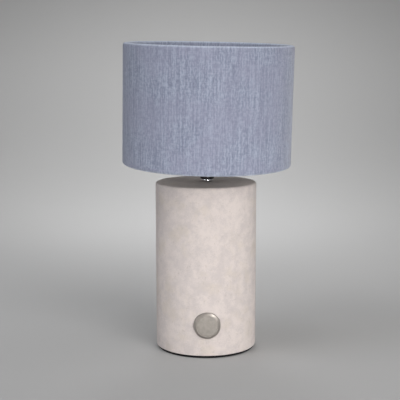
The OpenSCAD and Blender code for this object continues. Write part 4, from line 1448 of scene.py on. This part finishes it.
def make_sweep():
    """Floor and wall in one sweep, turned round the lamp: flat, then a quarter circle, then
    upright."""
    back = SWEEP_REACH + SWEEP_SHEET
    profile = outline([
        (0, 0), (SWEEP_REACH, 0, SWEEP_CURVE), (SWEEP_REACH, SWEEP_TOP), (back, SWEEP_TOP),
        (back, -SWEEP_SHEET), (0, -SWEEP_SHEET),
    ], 40, closed=False)
    sweep = lathe("studio_sweep", UPRIGHT, profile)
    sweep.data.materials.append(studio_paint())


def place_camera(look):
    """The camera, turned round the lamp by the orbit and looking down by the pitch."""
    scene = bpy.context.scene
    camera = bpy.data.objects.new("camera", bpy.data.cameras.new("camera"))
    camera.data.lens, camera.data.sensor_width, camera.data.shift_x = look.lens, SENSOR, look.shift
    east, north = math.sin(look.orbit) * look.distance, -math.cos(look.orbit) * look.distance
    camera.location = (east, north, look.height)
    camera.rotation_euler = (math.radians(90) - look.pitch, 0, look.orbit)
    scene.collection.objects.link(camera)
    scene.camera = camera


def light_studio(look):
    """The soft lights round the lamp and over the floor, and the even light from all round."""
    scene = bpy.context.scene
    for name, azimuth, rise, reach, pivot, aim, size, source, share, tint, spread in LAMP_LIGHTS:
        turn, rise = math.radians(azimuth), math.radians(rise)
        flat = reach * math.cos(rise)
        spot = (flat * math.sin(turn), -flat * math.cos(turn), pivot + reach * math.sin(rise))
        area_light(name, spot, (0, 0, aim), size, getattr(look, source) * share, tint, spread)
    for name, spot, aim, size, share, spread in FLOOR_LIGHTS:
        area_light(name, spot, aim, size, look.back * share, NEUTRAL, spread)
    scene.world = bpy.data.worlds.new("studio_air")
    scene.world.use_nodes = True
    air = scene.world.node_tree.nodes["Background"]
    air.inputs["Color"].default_value = (1, 1, 1, 1)
    air.inputs["Strength"].default_value = look.air
    scene.view_settings.view_transform = "Standard"


class LAMP_PT_dressing(bpy.types.Panel):
    """Lists the lamp's pieces and settings in the sidebar"""

    bl_idname = "LAMP_PT_dressing"
    bl_label = "Lamp"
    bl_space_type = "VIEW_3D"
    bl_region_type = "UI"
    bl_category = "Lamp"

    def draw(self, context):
        for operator in OPERATORS:
            self.layout.operator(operator.bl_idname)
        for name, group in GROUPS.items():
            box = self.layout.box()
            for field in group.__annotations__:
                box.prop(getattr(context.scene, name), field)


GROUPS = {
    "lamp_body": LampBody,
    "lamp_switch": LampSwitch,
    "lamp_fittings": LampFittings,
    "lamp_bulb": LampBulb,
    "lamp_shade": LampShade,
    "lamp_studio": LampStudio,
}
OPERATORS = (
    LAMP_OT_studio, LAMP_OT_cast_body, LAMP_OT_cord_inlet, LAMP_OT_push_switch, LAMP_OT_neck,
    LAMP_OT_lampholder, LAMP_OT_shade_rings, LAMP_OT_bulb, LAMP_OT_shade_fitter, LAMP_OT_shade_drum,
    LAMP_OT_inner_finishes,
)


def register():
    """Registers the settings, hangs them on the scene, and registers the operators and the
    panel."""
    for group in GROUPS.values():
        bpy.utils.register_class(group)
    for name, group in GROUPS.items():
        setattr(bpy.types.Scene, name, PointerProperty(type=group))
    for operator in (*OPERATORS, LAMP_PT_dressing):
        bpy.utils.register_class(operator)


def unregister():
    """Takes away what register made."""
    for name in GROUPS:
        delattr(bpy.types.Scene, name)
    for kind in (*OPERATORS, LAMP_PT_dressing, *GROUPS.values()):
        bpy.utils.unregister_class(kind)


def main():
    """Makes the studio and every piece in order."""
    register()
    bpy.ops.lamp.studio()
    bpy.ops.lamp.cast_body()
    bpy.ops.lamp.cord_inlet()
    bpy.ops.lamp.push_switch()
    bpy.ops.lamp.neck()
    bpy.ops.lamp.lampholder()
    bpy.ops.lamp.shade_rings()
    bpy.ops.lamp.bulb()
    bpy.ops.lamp.shade_fitter()
    bpy.ops.lamp.shade_drum()
    bpy.ops.lamp.inner_finishes()


if __name__ == "__main__":
    main()
